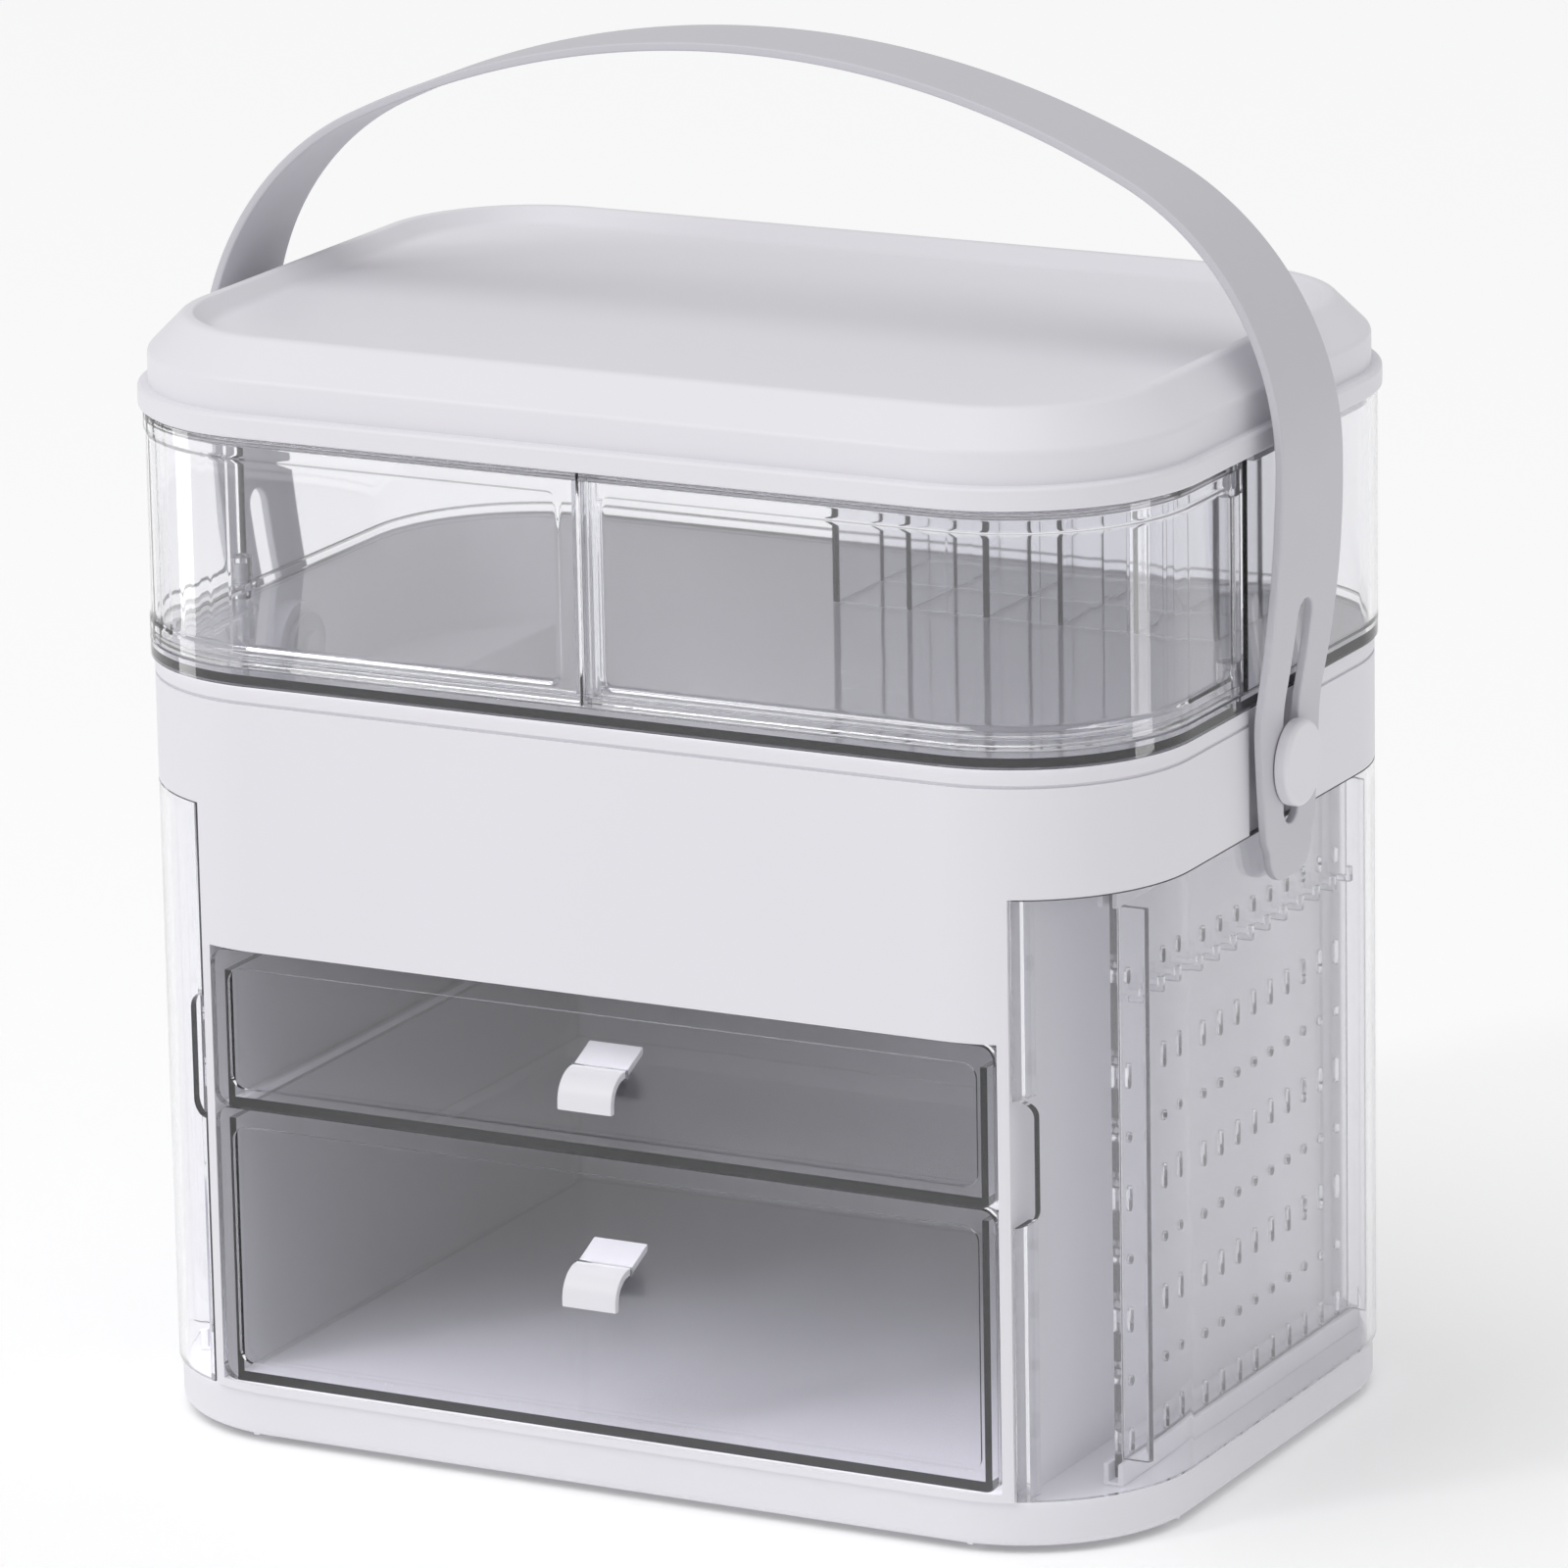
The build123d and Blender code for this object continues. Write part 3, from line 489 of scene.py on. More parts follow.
@dataclass(frozen=True)
class Plan:
    """A rounded rectangle seen from above, in millimetres."""

    half_width: float
    half_depth: float
    radius: float
    facets: int = 22

    def knots(self) -> np.ndarray:
        """Where the outline's straights and corners meet.

        Returns:
            Distances from the front's middle, anticlockwise.
        """
        wide, deep = self.half_width - self.radius, self.half_depth - self.radius
        quarter = self.radius * math.pi / 2
        round_half = [quarter, 2 * deep, quarter]
        return np.cumsum([0, wide, *round_half, 2 * wide, *round_half, wide])

    def stations(self, start: float, end: float) -> np.ndarray:
        """Stations on a stretch of the outline, with every corner on it divided evenly.

        Args:
            start: the stretch's first distance from the front's middle.
            end: its last one.

        Returns:
            The distances in order.
        """
        knots = self.knots()
        corners = [np.linspace(knots[k], knots[k + 1], self.facets + 1) for k in CORNER_LEGS]
        found = np.unique(np.concatenate([[start, end], *corners]))
        return found[(found >= start) & (found <= end)]

    def walk(self, distance: np.ndarray) -> tuple[np.ndarray, np.ndarray]:
        """Points and outward normals at distances along the outline.

        On a straight the normal stays and the point moves along it; round a corner the normal
        turns by distance / radius and the point is the corner's centre plus radius times it.

        Args:
            distance: from the middle of the front, anticlockwise.

        Returns:
            Points and unit normals, one row each.
        """
        knots = self.knots()
        leg = np.clip(np.searchsorted(knots, distance, side="right") - 1, 0, LAST_LEG)
        into = distance - knots[leg]
        bend = leg % 2 == 1
        angle = math.pi / 2 * (leg // 2 - 1) + np.where(bend, into / self.radius, 0.0)
        wide, deep = self.half_width - self.radius, self.half_depth - self.radius
        centres = np.array([(wide, -deep), (wide, deep), (-wide, deep), (-wide, -deep)])
        corner = np.where(bend, leg // 2, leg // 2 - 1) % len(centres)
        normal = np.stack([np.cos(angle), np.sin(angle)], -1)
        along = np.stack([-np.sin(angle), np.cos(angle)], -1)
        run = np.where(bend, 0.0, into + np.where(leg == 0, wide, 0.0))
        return centres[corner] + self.radius * normal + run[:, None] * along, normal

    def carry(self, distance: np.ndarray, inset: np.ndarray, height: np.ndarray) -> np.ndarray:
        """Carries a profile along the outline.

        Each point is the outline's point less the inset times the outward normal, at its height.

        Args:
            distance: stations along the outline.
            inset: how far inside the outline, one for each profile point or a full grid.
            height: the profile's heights.

        Returns:
            A grid of points, a row for each profile point and a column for each station.
        """
        point, normal = self.walk(distance)
        depth = np.asarray(inset, float).reshape(len(height), -1, 1)
        flat = point[None] - depth * normal[None]
        level = np.broadcast_to(height[:, None, None], (*flat.shape[:2], 1))
        return np.concatenate([flat, level], -1)


class Skin:
    """A mesh put together from grids of points in millimetres."""

    def __init__(self) -> None:
        """Starts with no points."""
        self.points: list[np.ndarray] = []
        self.faces: list[list[int]] = []
        self.count = 0

    def grid(
        self, points: np.ndarray, wrap_rows: bool = False, wrap_columns: bool = False
    ) -> np.ndarray:
        """Adds a grid of points and the four-sided faces between them.

        Args:
            points: rows by columns by 3.
            wrap_rows: whether the last row joins the first.
            wrap_columns: whether the last column joins the first.

        Returns:
            The points' numbers, rows by columns.
        """
        rows, columns = points.shape[:2]
        index = self.count + np.arange(rows * columns).reshape(rows, columns)
        right, down = np.roll(index, -1, 1), np.roll(index, -1, 0)
        quads = np.stack([index, right, np.roll(down, -1, 1), down], -1)
        quads = quads if wrap_rows else quads[:-1]
        quads = quads if wrap_columns else quads[:, :-1]
        self.points.append(points.reshape(-1, 3))
        self.faces += quads.reshape(-1, 4).tolist()
        self.count += rows * columns
        return index

    def cap(self, loop: np.ndarray) -> None:
        """Closes a loop of points with one flat face."""
        self.faces.append(loop.tolist())

    def mesh(self, name: str) -> bpy.types.Mesh:
        """Makes the mesh in metres, with doubles merged and the faces turned to point outwards.

        Args:
            name: the mesh's name.

        Returns:
            The mesh.
        """
        mesh = bpy.data.meshes.new(name)
        mesh.from_pydata(np.concatenate(self.points) * MM, [], self.faces)
        shape = bmesh.new()
        shape.from_mesh(mesh)
        bmesh.ops.remove_doubles(shape, verts=shape.verts, dist=SURFACE_MERGE * MM)
        bmesh.ops.recalc_face_normals(shape, faces=shape.faces)
        shape.to_mesh(mesh)
        shape.free()
        return mesh


# ------------------------------------------------------------------ pieces


def show(
    name: str,
    mesh: bpy.types.Mesh,
    finish: Finish,
    nodes: Sequence[str],
    edge: float = 0.0,
    sheet: float = 0.0,
) -> bpy.types.Object:
    """Shows a mesh as a dressed piece in place of CAD nodes.

    Args:
        name: the piece's name.
        mesh: its mesh, in place.
        finish: its finish.
        nodes: the nodes that it stands for; it rides on the first one's body.
        edge: the wanted width of its rounded edges in millimetres, or 0 where they are rounded
            already. The bevel narrows it on the whole piece where one edge has too little room.
        sheet: the thickness in millimetres that a bare sheet is given, half to each side.

    Returns:
        The piece.
    """
    piece = bpy.data.objects.new(name, mesh)
    bpy.context.scene.collection.objects.link(piece)
    if finish in (Finish.CLEAR, Finish.BOARD):
        CLEAR_PIECES.objects.link(piece)
    mesh.materials.clear()
    mesh.materials.append(MATERIALS[finish])
    mesh.polygons.foreach_set("use_smooth", np.ones(len(mesh.polygons), bool))
    if sheet:
        wall = piece.modifiers.new("sheet_thickness", "SOLIDIFY")
        wall.thickness = sheet * MM
        wall.offset = 0.0
        wall.use_even_offset = True
    if edge:
        bevel = piece.modifiers.new("edge_round", "BEVEL")
        bevel.width = edge * MM
        bevel.segments = EDGE_SEGMENTS
        bevel.limit_method = "ANGLE"
        bevel.angle_limit = math.radians(EDGE_ANGLE)
    shading = piece.modifiers.new("even_shading", "WEIGHTED_NORMAL")
    shading.keep_sharp = False
    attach(piece, BODY_OF[nodes[0]])
    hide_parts(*nodes)
    LOG.info("%s stands for %s", name, ", ".join(nodes))
    return piece


@dataclass
class SoftenedPart:
    """A CAD node shown with rounded edges, as wide as its tightest edge leaves room for."""

    node: str
    edge: float

    def build(self) -> bpy.types.Object:
        """Copies the node's mesh, merges its loose triangles and rounds its edges.

        Returns:
            The dressed piece, which stands for the node.
        """
        mesh = frame["nodes"][self.node].data.copy()
        shape = bmesh.new()
        shape.from_mesh(mesh)
        bmesh.ops.remove_doubles(shape, verts=shape.verts, dist=NODE_MERGE * MM)
        bmesh.ops.dissolve_limit(
            shape, angle_limit=math.radians(FLAT_ANGLE), verts=shape.verts, edges=shape.edges
        )
        shape.to_mesh(mesh)
        shape.free()
        return show(f"{self.node}_skin", mesh, FINISH_OF[self.node], [self.node], edge=self.edge)


@dataclass
class Lid:
    """The white lid: a flange with a bead, an upright skirt, a sloped crest and a dished top.

    Lengths are in millimetres, and insets are measured inwards from the plan's outline.
    """

    plan: Plan = Plan(half_width=152.9, half_depth=103.9, radius=52.9)
    bottom: float = 278.5
    top: float = 303.0
    flange: float = 6.0
    bead: float = 1.1
    skirt: float = 2.9
    crest: float = 9.7
    dish: float = 15.4
    dish_depth: float = 4.5
    wall: float = 2.5
    pole: float = 26.0
    pole_round: float = 0.01
    dish_round: float = 4.0
    rim_round: float = 1.2
    crest_round: float = 3.0
    crease_round: float = 2.5
    step_round: float = 0.3
    bottom_round: float = 0.7
    inner_round: float = 0.2
    hollow_round: float = 0.5
    arc_steps: int = 5

    def profile(self) -> np.ndarray:
        """The section from the middle of the dish outwards, down and back under the ceiling.

        The crest is a slope as wide as it is high. The hollow's slope runs along it, one wall's
        thickness inside, measured square to both.

        Returns:
            Inset and height of each point, one row each.
        """
        floor, ceiling = self.top - self.dish_depth, self.top - self.dish_depth - self.wall
        inner = self.skirt + self.wall
        slope = self.crest - self.dish_depth - 2 * self.wall + self.wall * math.sqrt(2)
        corners = (
            (self.pole, floor, self.pole_round),
            (self.dish + self.dish_depth, floor, self.dish_round),
            (self.dish, self.top, self.rim_round),
            (self.skirt + self.crest, self.top, self.crest_round),
            (self.skirt, self.top - self.crest, self.crease_round),
            (self.skirt, self.bottom + self.flange, self.step_round),
            (0.0, self.bottom + self.flange, self.bead),
            (0.0, self.bottom, self.bottom_round),
            (self.wall, self.bottom, self.inner_round),
            (self.wall, self.bottom + self.wall, self.inner_round),
            (inner, self.bottom + self.wall, self.inner_round),
            (inner, ceiling - slope, self.hollow_round),
            (inner + slope, ceiling, self.hollow_round),
            (self.pole, ceiling, self.pole_round),
        )
        return rounded(corners, self.arc_steps)

    def build(self) -> bpy.types.Object:
        """Carries the section round the lid and closes it at both poles.

        Returns:
            The lid.
        """
        section = self.profile()
        distance = self.plan.stations(0.0, self.plan.knots()[-1])[:-1]
        points = self.plan.carry(distance, section[:, 0], section[:, 1])
        skin = Skin()
        index = skin.grid(points, wrap_columns=True)
        skin.cap(index[0])
        skin.cap(index[-1])
        mesh = skin.mesh("lid_moulding")
        return show("lid_moulding", mesh, FINISH_OF["lid_shell"], ["lid_shell"])


@dataclass
class ClearCompartment:
    """The two clear doors and the fixed rear window under the lid. Lengths are in millimetres."""

    plan: Plan = Plan(half_width=151.0, half_depth=102.0, radius=49.0)
    bottom: float = 216.0
    top: float = 278.1
    wall: float = 2.5
    flange: float = 8.0
    flange_thickness: float = 2.2
    middle: float = 0.35
    rear_edge: float = -21.8
    border: float = 5.0
    border_corner: float = 4.0
    panel_sink: float = 0.55
    sink_ramp: float = 1.3
    face_margin: float = 1.0
    fine_step: float = 0.6
    fine_rise: float = 11.0
    coarse_rise: float = 4.0
    fine_run: float = 12.0
    coarse_run: float = 6.0
    lip_round: float = 0.5
    trough_round: float = 0.6
    bar_gap: float = 0.02
    bar_round: float = 0.2
    pivot: tuple[float, float] = (147.0, -24.5)
    knuckle_radius: float = 3.4
    knuckle_height: float = 9.0
    knuckle_facets: int = 24
    window_front: float = -19.0
    window_bottom: float = 215.6
    window_top: float = 278.5
    window_round: float = 0.4
    edge: float = 0.25

    def side_distance(self, y: float) -> float:
        """How far along the outline the right side reaches a given y."""
        return self.plan.knots()[2] + y + (self.plan.half_depth - self.plan.radius)

    def sink(self, distance: np.ndarray, height: np.ndarray) -> np.ndarray:
        """How deep the panel lies inside its border.

        The share is the distance inside a rounded rectangle within the border, divided by the
        ramp's width and held between 0 and 1. The depth is the full one times share squared
        times (3 - 2 times share), which eases both ends of the ramp.

        Args:
            distance: stations along the door.
            height: heights of the outer face.

        Returns:
            The depth at each height and station.
        """
        half = np.array([distance[-1] - distance[0], self.top - self.bottom]) / 2
        middle = np.array([distance[-1] + distance[0], self.top + self.bottom]) / 2
        reach = half - self.border - self.border_corner
        across = np.abs(distance - middle[0])[None] - reach[0]
        up = np.abs(height - middle[1])[:, None] - reach[1]
        beyond = np.hypot(np.maximum(across, 0), np.maximum(up, 0)) - self.border_corner
        beyond += np.minimum(np.maximum(across, up), 0)
        share = np.clip(-beyond / self.sink_ramp, 0, 1)
        return self.panel_sink * share * share * (3 - 2 * share)

    def door_skin(self) -> Skin:
        """The right-hand door: a channel, an upright bar at the middle and two knuckles.

        The channel's section is carried round the corner, and its outer face lies `sink` deep.
        Bar and knuckles are closed shells of their own. The knuckles run into the wall, and the
        bar's ends into the rounds between the wall and its flanges.

        Returns:
            The door's surface.
        """
        low, high, thick = self.bottom, self.top, self.flange_thickness
        lip, trough = self.lip_round, self.trough_round
        back = rounded(
            (
                (0.0, high, lip),
                (self.flange, high, lip),
                (self.flange, high - thick, lip),
                (self.wall, high - thick, trough),
                (self.wall, low + thick, trough),
                (self.flange, low + thick, lip),
                (self.flange, low, lip),
                (0.0, low, lip),
            )
        )
        levels = low + self.face_margin, high - self.face_margin
        face = graded(*levels, self.fine_rise, self.fine_step, self.coarse_rise)
        ends = self.middle, self.side_distance(self.rear_edge)
        stretch = graded(*ends, self.fine_run, self.fine_step, self.coarse_run)
        distance = np.unique(np.concatenate([stretch, self.plan.stations(*ends)[1:-1]]))
        even = np.broadcast_to(back[:, :1], (len(back), len(distance)))
        inset = np.concatenate([even, self.sink(distance, face)])
        height = np.concatenate([back[:, 1], face])
        skin = Skin()
        index = skin.grid(self.plan.carry(distance, inset, height), wrap_rows=True)
        skin.cap(index[:, 0])
        skin.cap(index[:, -1])
        self.add_bar(skin)
        self.add_knuckles(skin)
        return skin

    def add_bar(self, skin: Skin) -> None:
        """Adds the upright bar at the door's front end, a small gap off the channel's flat sides.

        Args:
            skin: the door's surface.
        """
        low, high, thick = self.bottom, self.top, self.flange_thickness
        front = -self.plan.half_depth
        bar = rounded(
            (
                (self.middle, front + self.wall + self.bar_gap, self.bar_round),
                (self.middle + thick, front + self.wall + self.bar_gap, self.bar_round),
                (self.middle + thick, front + self.flange, self.lip_round),
                (self.middle, front + self.flange, self.lip_round),
            )
        )
        self.add_column(skin, bar, low + thick + self.bar_gap, high - thick - self.bar_gap)

    def add_knuckles(self, skin: Skin) -> None:
        """Adds the knuckles at both ends of the pivot line, cut off at the door's rear edge.

        Args:
            skin: the door's surface.
        """
        low, high, tall = self.bottom, self.top, self.knuckle_height
        ring = arc(self.pivot, self.knuckle_radius, 0.0, 2 * math.pi, self.knuckle_facets + 1)[:-1]
        ring[:, 1] = np.minimum(ring[:, 1], self.rear_edge)
        self.add_column(skin, ring, low, low + tall)
        self.add_column(skin, ring, high - tall, high)

    @staticmethod
    def add_column(skin: Skin, outline: np.ndarray, low: float, high: float) -> None:
        """Adds an upright column: its outline at two levels, with both ends closed.

        Args:
            skin: the surface that gets the column.
            outline: the column's points seen from above.
            low: the level of its foot.
            high: the level of its top.
        """
        levels = np.array([low, high])
        flat = np.broadcast_to(outline[None], (len(levels), *outline.shape))
        rise = np.broadcast_to(levels[:, None, None], (*flat.shape[:2], 1))
        index = skin.grid(np.concatenate([flat, rise], -1), wrap_columns=True)
        skin.cap(index[0])
        skin.cap(index[-1])

    def window_skin(self) -> Skin:
        """The rear window: a plain rounded wall section carried round the back.

        Returns:
            The window's surface.
        """
        section = rounded(
            (
                (0.0, self.window_bottom, self.window_round),
                (0.0, self.window_top, self.window_round),
                (self.wall, self.window_top, self.window_round),
                (self.wall, self.window_bottom, self.window_round),
            )
        )
        start = self.side_distance(self.window_front)
        distance = self.plan.stations(start, self.plan.knots()[-1] - start)
        points = self.plan.carry(distance, section[:, 0], section[:, 1])
        skin = Skin()
        index = skin.grid(points, wrap_rows=True)
        skin.cap(index[:, 0])
        skin.cap(index[:, -1])
        return skin

    def build(self) -> None:
        """Makes both doors, of which the left mirrors the right, and the window."""
        for side, name in ((1, "door_right"), (-1, "door_left")):
            skin = self.door_skin()
            skin.points = [block * (side, 1, 1) for block in skin.points]
            show(f"{name}_moulding", skin.mesh(name), FINISH_OF[name], [name], edge=self.edge)
        name = "rear_window"
        mesh = self.window_skin().mesh(name)
        show(f"{name}_moulding", mesh, FINISH_OF[name], [name], edge=self.edge)


@dataclass
class HandleStrap:
    """The strap, laid out as a flat sheet with a slot near each end and then bent to the arch.

    Lengths are in millimetres. The arch's widths, heights and radii are those of its outer face.
    """

    top: float = 374.1
    half_width: float = 161.2
    crown: float = 262.0
    shoulder: float = 82.0
    bulge: float = 330.0
    leg_return: float = 60.0
    leg_x: float = 154.4
    leg_end: float = 162.0
    thickness: float = 2.4
    width_heights: tuple[float, ...] = (162.0, 244.0, 325.0, 374.1)
    half_widths: tuple[float, ...] = (13.0, 19.5, 16.0, 13.5)
    end_corner: float = 9.0
    slot_low: float = 176.5
    slot_high: float = 237.5
    slot_half: float = 4.5
    edge: float = 0.5
    joint_rise: float = 12.0
    samples: int = 400
    rows: int = 240
    columns: int = 13
    side_steps: int = 26
    corner_steps: int = 9
    layers: int = 6

    def half_line(self) -> np.ndarray:
        """The middle line from the right leg's end to the crown, as a chain of tangent arcs.

        The crown's arc has its centre in the middle, and the shoulder's touches it from inside.
        The bulge's has its centre on the shoulder's level and touches that at the widest point.
        The leg's return bends the other way, touches the bulge and ends in the upright leg.

        Returns:
            The line's places across and up, one row each.
        """
        depth = self.thickness / 2
        crown_z = self.top - self.crown
        shoulder_x = self.half_width - self.shoulder
        shoulder_z = crown_z + math.sqrt((self.crown - self.shoulder) ** 2 - shoulder_x**2)
        bulge_x, return_x = self.half_width - self.bulge, self.leg_x + self.leg_return
        drop = math.sqrt((self.bulge + self.leg_return) ** 2 - (return_x - bulge_x) ** 2)
        crown_turn = math.asin(shoulder_x / (self.crown - self.shoulder))
        bulge_turn = math.asin(drop / (self.bulge + self.leg_return))
        knee_z = shoulder_z - drop
        middle = self.leg_x - depth
        upright = math.pi / 2
        count = self.samples
        runs = (
            np.linspace((middle, self.leg_end), (middle, knee_z), count),
            arc((return_x, knee_z), self.leg_return + depth, math.pi, math.pi - bulge_turn, count),
            arc((bulge_x, shoulder_z), self.bulge - depth, -bulge_turn, 0.0, count),
            arc((shoulder_x, shoulder_z), self.shoulder - depth, 0.0, upright - crown_turn, count),
            arc((0.0, crown_z), self.crown - depth, upright - crown_turn, upright, count),
        )
        return np.concatenate([run[:-1] for run in runs] + [runs[-1][-1:]])

    def flat_ring(self, half_at: WidthAlong, join: float, low: float, high: float) -> np.ndarray:
        """The grid of flat points round one slot, out to the strap's own edge and the joint above.

        The inner row runs round the slot and the outer row round the strap's end, with as many
        points each; the rows between are straight blends of the two.

        Args:
            half_at: half the strap's width at distances along it.
            join: how far along the strap the ring ends.
            low: where the slot's lower arc has its centre.
            high: where its upper arc has its centre.

        Returns:
            Rows by points by 2, each point its place across and along.
        """
        corner, slot = self.end_corner, self.slot_half
        half_foot = half_at(np.zeros(1))[0]
        half_joint = half_at(np.full(1, join))[0]
        rise = np.linspace(0, 1, self.side_steps + 2)[1:-1]
        side = join + (corner - join) * rise
        left = np.stack([-half_at(side), side], -1)
        joint = np.linspace((1.0, join), (-1.0, join), self.columns) * (half_joint, 1)
        foot = corner - half_foot, corner
        turned = arc(foot, corner, math.pi, 1.5 * math.pi, self.corner_steps)
        mirrored = [(turned * (-1, 1))[::-1], (left * (-1, 1))[::-1]]
        wall = high + (low - high) * rise
        inner = [
            arc((0.0, high), slot, 0.0, math.pi, self.columns),
            np.stack([np.full_like(wall, -slot), wall], -1),
            arc((0.0, low), slot, math.pi, 2 * math.pi, 2 * self.corner_steps),
            np.stack([np.full_like(wall, slot), wall[::-1]], -1),
        ]
        outer = np.concatenate([joint, left, turned, *mirrored])
        share = np.linspace(0, 1, self.layers)[:, None, None]
        return np.concatenate(inner)[None] * (1 - share) + outer[None] * share

    def build(self) -> bpy.types.Object:
        """Lays the sheet out flat, with a ring of faces round each slot, and bends it.

        Half the sheet's width is the polynomial of height through the given half widths.

        Returns:
            The strap.
        """
        right = self.half_line()
        line = np.concatenate([right, (right * (-1, 1))[::-1][1:]])
        reach = np.concatenate([[0], np.cumsum(np.linalg.norm(np.diff(line, axis=0), axis=1))])
        total = reach[-1]
        width = np.polyfit(self.width_heights, self.half_widths, len(self.half_widths) - 1)

        def half_at(distance: np.ndarray) -> np.ndarray:
            """Half the strap's width at distances along it."""
            return np.polyval(width, np.interp(distance, reach, line[:, 1]))

        def bent(flat: np.ndarray) -> np.ndarray:
            """Bends the flat sheet to the arch.

            A point goes to the middle line's place at its distance along, and its distance
            across becomes its depth.

            Args:
                flat: points of the sheet, each its place across and along.

            Returns:
                The points in space.
            """
            x = np.interp(flat[..., 1], reach, line[:, 0])
            z = np.interp(flat[..., 1], reach, line[:, 1])
            return np.stack([x, flat[..., 0], z], -1)

        heights = self.slot_low, self.slot_high
        slot_low, slot_high = np.interp(heights, right[:, 1], reach[: len(right)])
        join = slot_high + self.joint_rise
        low, high = slot_low + self.slot_half, slot_high - self.slot_half
        ring = self.flat_ring(half_at, join, low, high)
        distance = np.linspace(join, total - join, self.rows)
        spread = np.linspace(1, -1, self.columns)[None] * half_at(distance)[:, None]
        body = np.stack([spread, np.broadcast_to(distance[:, None], spread.shape)], -1)
        skin = Skin()
        skin.grid(bent(ring), wrap_columns=True)
        skin.grid(bent(ring * (1, -1) + (0, total)), wrap_columns=True)
        skin.grid(bent(body))
        return show(
            "handle_strap_moulding",
            skin.mesh("handle_strap"),
            FINISH_OF["handle_strap"],
            ["handle_strap"],
            edge=self.edge,
            sheet=self.thickness,
        )


# ------------------------------------------------------------------ studio


@dataclass(frozen=True)
class PhotoCamera:
    """The camera at the photograph's angle.

    Angles are in degrees, places and distances in metres, lens and sensor in millimetres.
    """

    target: Triple = (0.038525, -0.063905, 0.19021)
    distance: float = 2.5927
    azimuth: float = 27.636
    elevation: float = 15.007
    roll: float = -1.071
    lens: float = 228.5
    sensor: float = 36.0
    clip: tuple[float, float] = (0.1, 50.0)

    def build(self) -> bpy.types.Object:
        """Places the camera at its distance from the target, level but for the roll.

        Returns:
            The camera.
        """
        angles = self.azimuth, self.elevation, self.roll
        azimuth, elevation, roll = (math.radians(angle) for angle in angles)
        back = Vector(
            (
                math.sin(azimuth) * math.cos(elevation),
                -math.cos(azimuth) * math.cos(elevation),
                math.sin(elevation),
            )
        )
        level_right = (-back).cross(Vector((0, 0, 1))).normalized()
        level_up = level_right.cross(-back).normalized()
        right = level_right * math.cos(roll) + level_up * math.sin(roll)
        up = level_up * math.cos(roll) - level_right * math.sin(roll)
        data = bpy.data.cameras.new("photo_camera")
        data.sensor_width = self.sensor
        data.lens = self.lens
        data.clip_start, data.clip_end = self.clip
        camera = bpy.data.objects.new("photo_camera", data)
        bpy.context.scene.collection.objects.link(camera)
        turn = Matrix((right, up, back)).transposed().to_4x4()
        camera.matrix_world = Matrix.Translation(Vector(self.target) + back * self.distance) @ turn
        bpy.context.scene.camera = camera
        return camera


@dataclass(frozen=True)
class Softbox:
    """A flat lamp that looks at the case. Lengths in metres, power in watts."""

    name: str
    place: Triple
    width: float
    height: float
    power: float
    glints_only: bool = False
    aim: Triple = (0.0, 0.0, 0.15)

    def build(self) -> None:
        """Hangs the lamp, out of the camera's sight.

        One for glints lights the clear pieces alone, and isn't seen through them either.
        """
        data = bpy.data.lights.new(self.name, "AREA")
        data.shape = "RECTANGLE"
        data.size = self.width
        data.size_y = self.height
        data.energy = self.power
        lamp = bpy.data.objects.new(self.name, data)
        bpy.context.scene.collection.objects.link(lamp)
        lamp.location = self.place
        heading = Vector(self.aim) - Vector(self.place)
        lamp.rotation_euler = heading.to_track_quat("-Z", "Y").to_euler()
        lamp.visible_camera = False
        if self.glints_only:
            lamp.visible_transmission = False
            lamp.light_linking.receiver_collection = CLEAR_PIECES


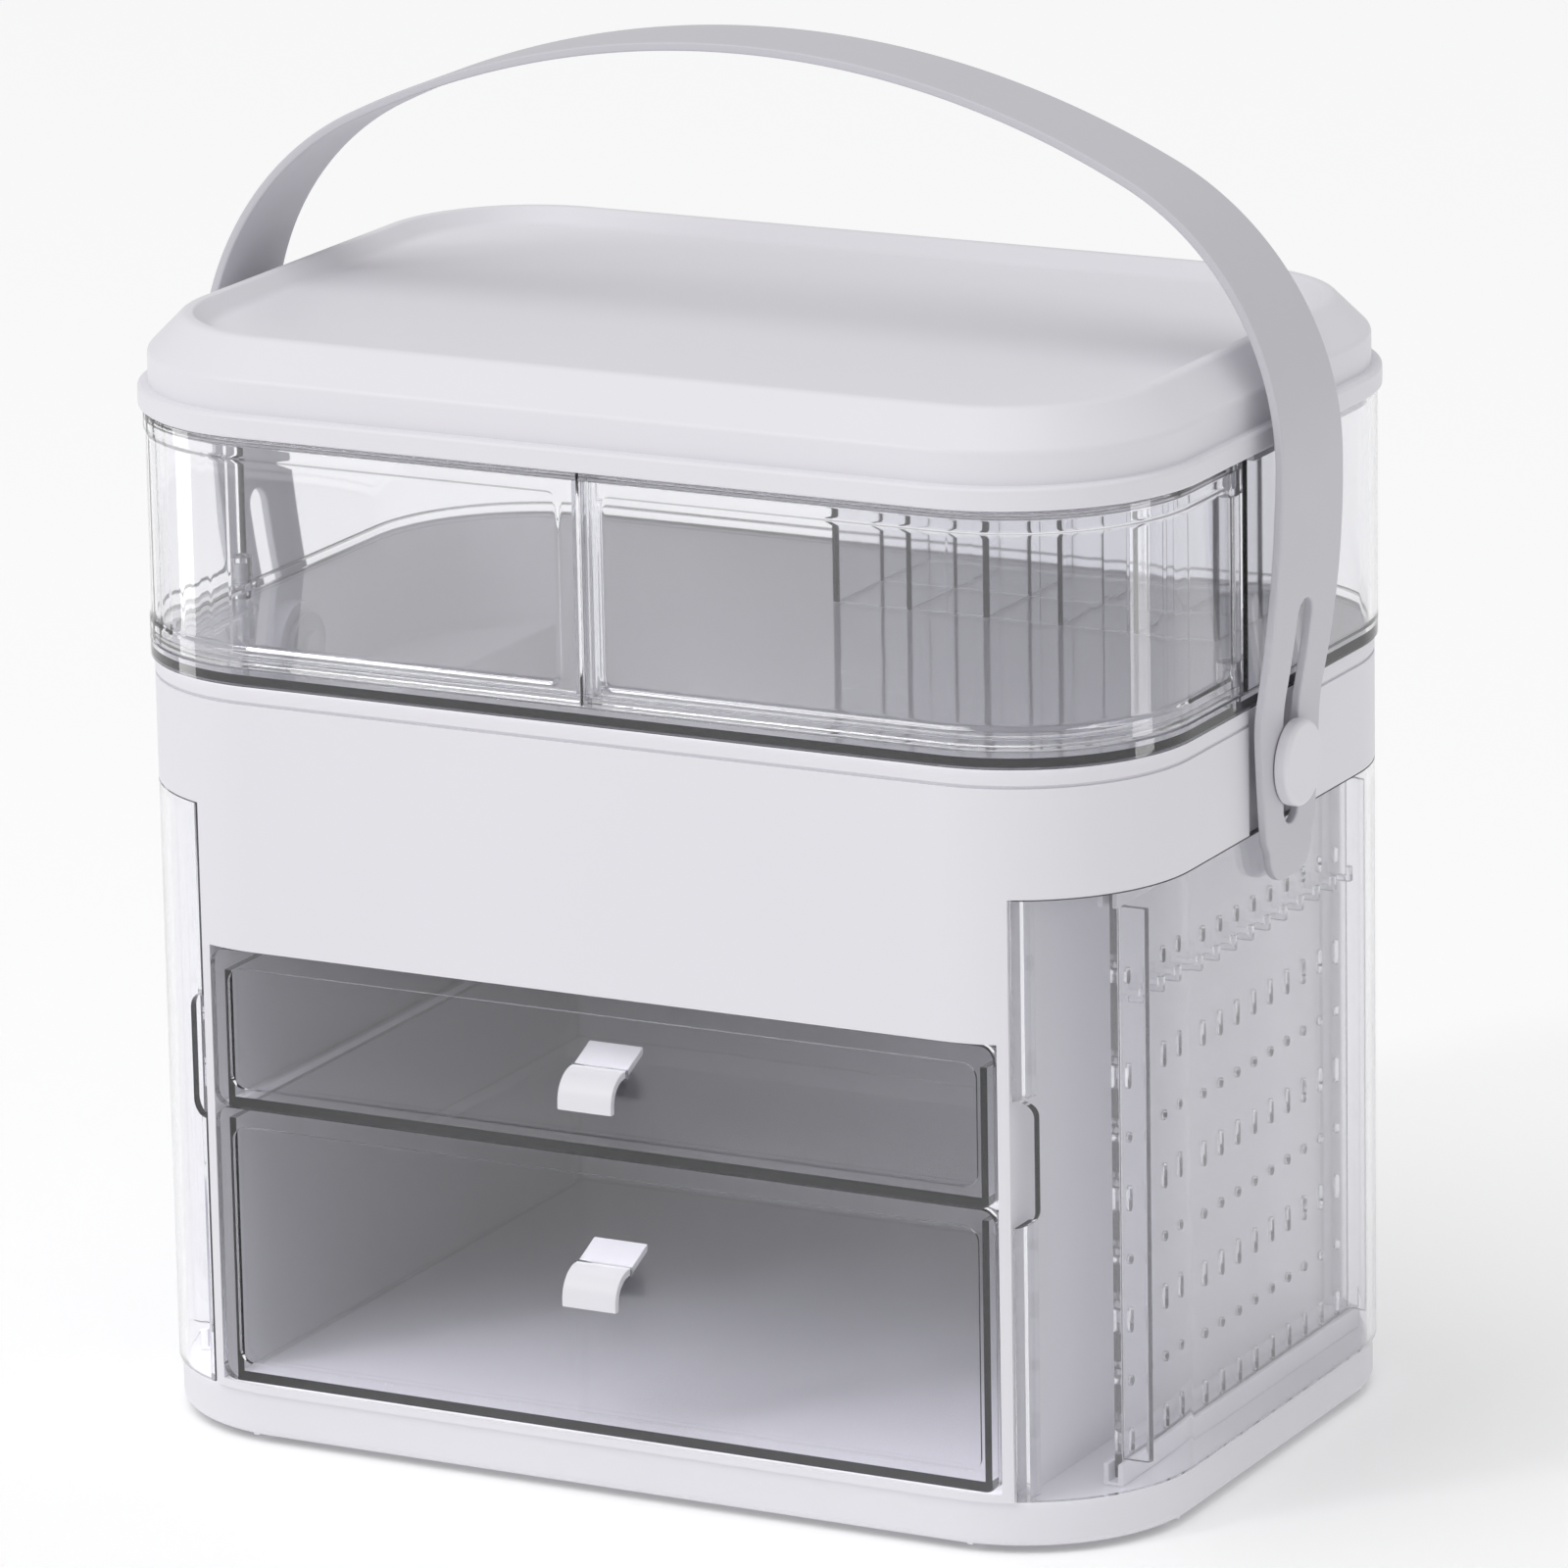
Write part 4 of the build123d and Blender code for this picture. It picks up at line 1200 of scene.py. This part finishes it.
@dataclass(frozen=True)
class Studio:
    """A pale floor and surround, a wide soft sun from high in front, and softboxes for gloss.

    Lengths are in metres, angles in degrees and the softboxes' power in watts.
    """

    white: Colour = (1.0, 1.0, 1.0)
    floor_side: float = 16.0
    floor_colour: Colour = (0.93, 0.93, 0.935)
    floor_roughness: float = 0.8
    floor_glow: float = 0.16
    surround: float = 0.56
    sun_strength: float = 0.85
    sun_softness: float = 50.0
    sun_heading: float = -15.0
    sun_height: float = 72.0
    bounces: int = 24
    softboxes: tuple[Softbox, ...] = (
        Softbox("left_softbox", (-1.35, -1.95, 1.7), width=0.3, height=1.0, power=10.5),
        Softbox("high_glint", (-0.72, -1.35, 1.5), 1.6, 1.2, power=34.0, glints_only=True),
        Softbox("left_glint", (-0.75, -0.25, 0.16), 0.2, 0.3, power=0.8, glints_only=True),
        Softbox("right_glint", (0.85, 0.15, 0.16), 0.2, 0.3, power=0.9, glints_only=True),
    )

    def lay_floor(self) -> None:
        """Lays a wide flat floor that glows slightly, like a lit photo table."""
        half = self.floor_side / 2
        mesh = bpy.data.meshes.new("floor")
        corners = [(-half, -half, 0), (half, -half, 0), (half, half, 0), (-half, half, 0)]
        mesh.from_pydata(corners, [], [(0, 1, 2, 3)])
        floor = bpy.data.objects.new("floor", mesh)
        bpy.context.scene.collection.objects.link(floor)
        shader = Shader("pale_floor")
        body = shader.add(
            "ShaderNodeBsdfPrincipled",
            None,
            {
                "Base Color": (*self.floor_colour, 1.0),
                "Roughness": self.floor_roughness,
                "Emission Color": (*self.white, 1.0),
                "Emission Strength": self.floor_glow,
            },
        )
        mesh.materials.append(shader.close(body.outputs[0]))

    def light_surround(self) -> None:
        """Puts an even white surround round the scene."""
        world = bpy.data.worlds.new("pale_surround")
        world.use_nodes = True
        background = world.node_tree.nodes["Background"]
        background.inputs["Color"].default_value = (*self.white, 1.0)
        background.inputs["Strength"].default_value = self.surround
        bpy.context.scene.world = world

    def hang_sun(self) -> None:
        """Hangs the sun: its heading is counted from the case's front, its height from level."""
        data = bpy.data.lights.new("soft_sun", "SUN")
        data.energy = self.sun_strength
        data.angle = math.radians(self.sun_softness)
        sun = bpy.data.objects.new("soft_sun", data)
        bpy.context.scene.collection.objects.link(sun)
        heading, rise = math.radians(self.sun_heading), math.radians(self.sun_height)
        level = math.cos(rise)
        towards = Vector((math.sin(heading) * level, -math.cos(heading) * level, math.sin(rise)))
        sun.rotation_euler = (-towards).to_track_quat("-Z", "Y").to_euler()

    def build(self) -> None:
        """Makes the floor, the surround and the lamps, and sets how light is traced and shown."""
        self.lay_floor()
        self.light_surround()
        self.hang_sun()
        for softbox in self.softboxes:
            softbox.build()
        scene = bpy.context.scene
        scene.view_settings.view_transform = "Standard"
        scene.cycles.max_bounces = self.bounces
        scene.cycles.transmission_bounces = self.bounces
        scene.cycles.transparent_max_bounces = self.bounces


# ------------------------------------------------------------------ the case

MODELLED = {"lid_shell", "door_right", "door_left", "rear_window", "handle_strap"}

# The wanted widths of rounded edges, in millimetres. The large pieces come out nearly sharp,
# because each has a tight edge that narrows the bevel on the whole piece.
EDGES = {
    "base_plate": 0.5,
    "body_shell": 0.5,
    "upper_tray": 0.9,
    "drawer_lower_box": 0.8,
    "drawer_upper_box": 0.8,
    "rack_cover_right": 0.6,
    "rack_cover_left": 0.6,
}
DEFAULT_EDGE = 0.3


def main() -> None:
    """Builds the case's pieces, the studio and the camera."""
    logging.basicConfig(level=logging.INFO, format="%(message)s")
    PhotoCamera().build()
    Studio().build()
    Lid().build()
    ClearCompartment().build()
    HandleStrap().build()
    for node in sorted(set(BODY_OF) - MODELLED):
        SoftenedPart(node, EDGES.get(node, DEFAULT_EDGE)).build()


if __name__ == "__main__":
    main()
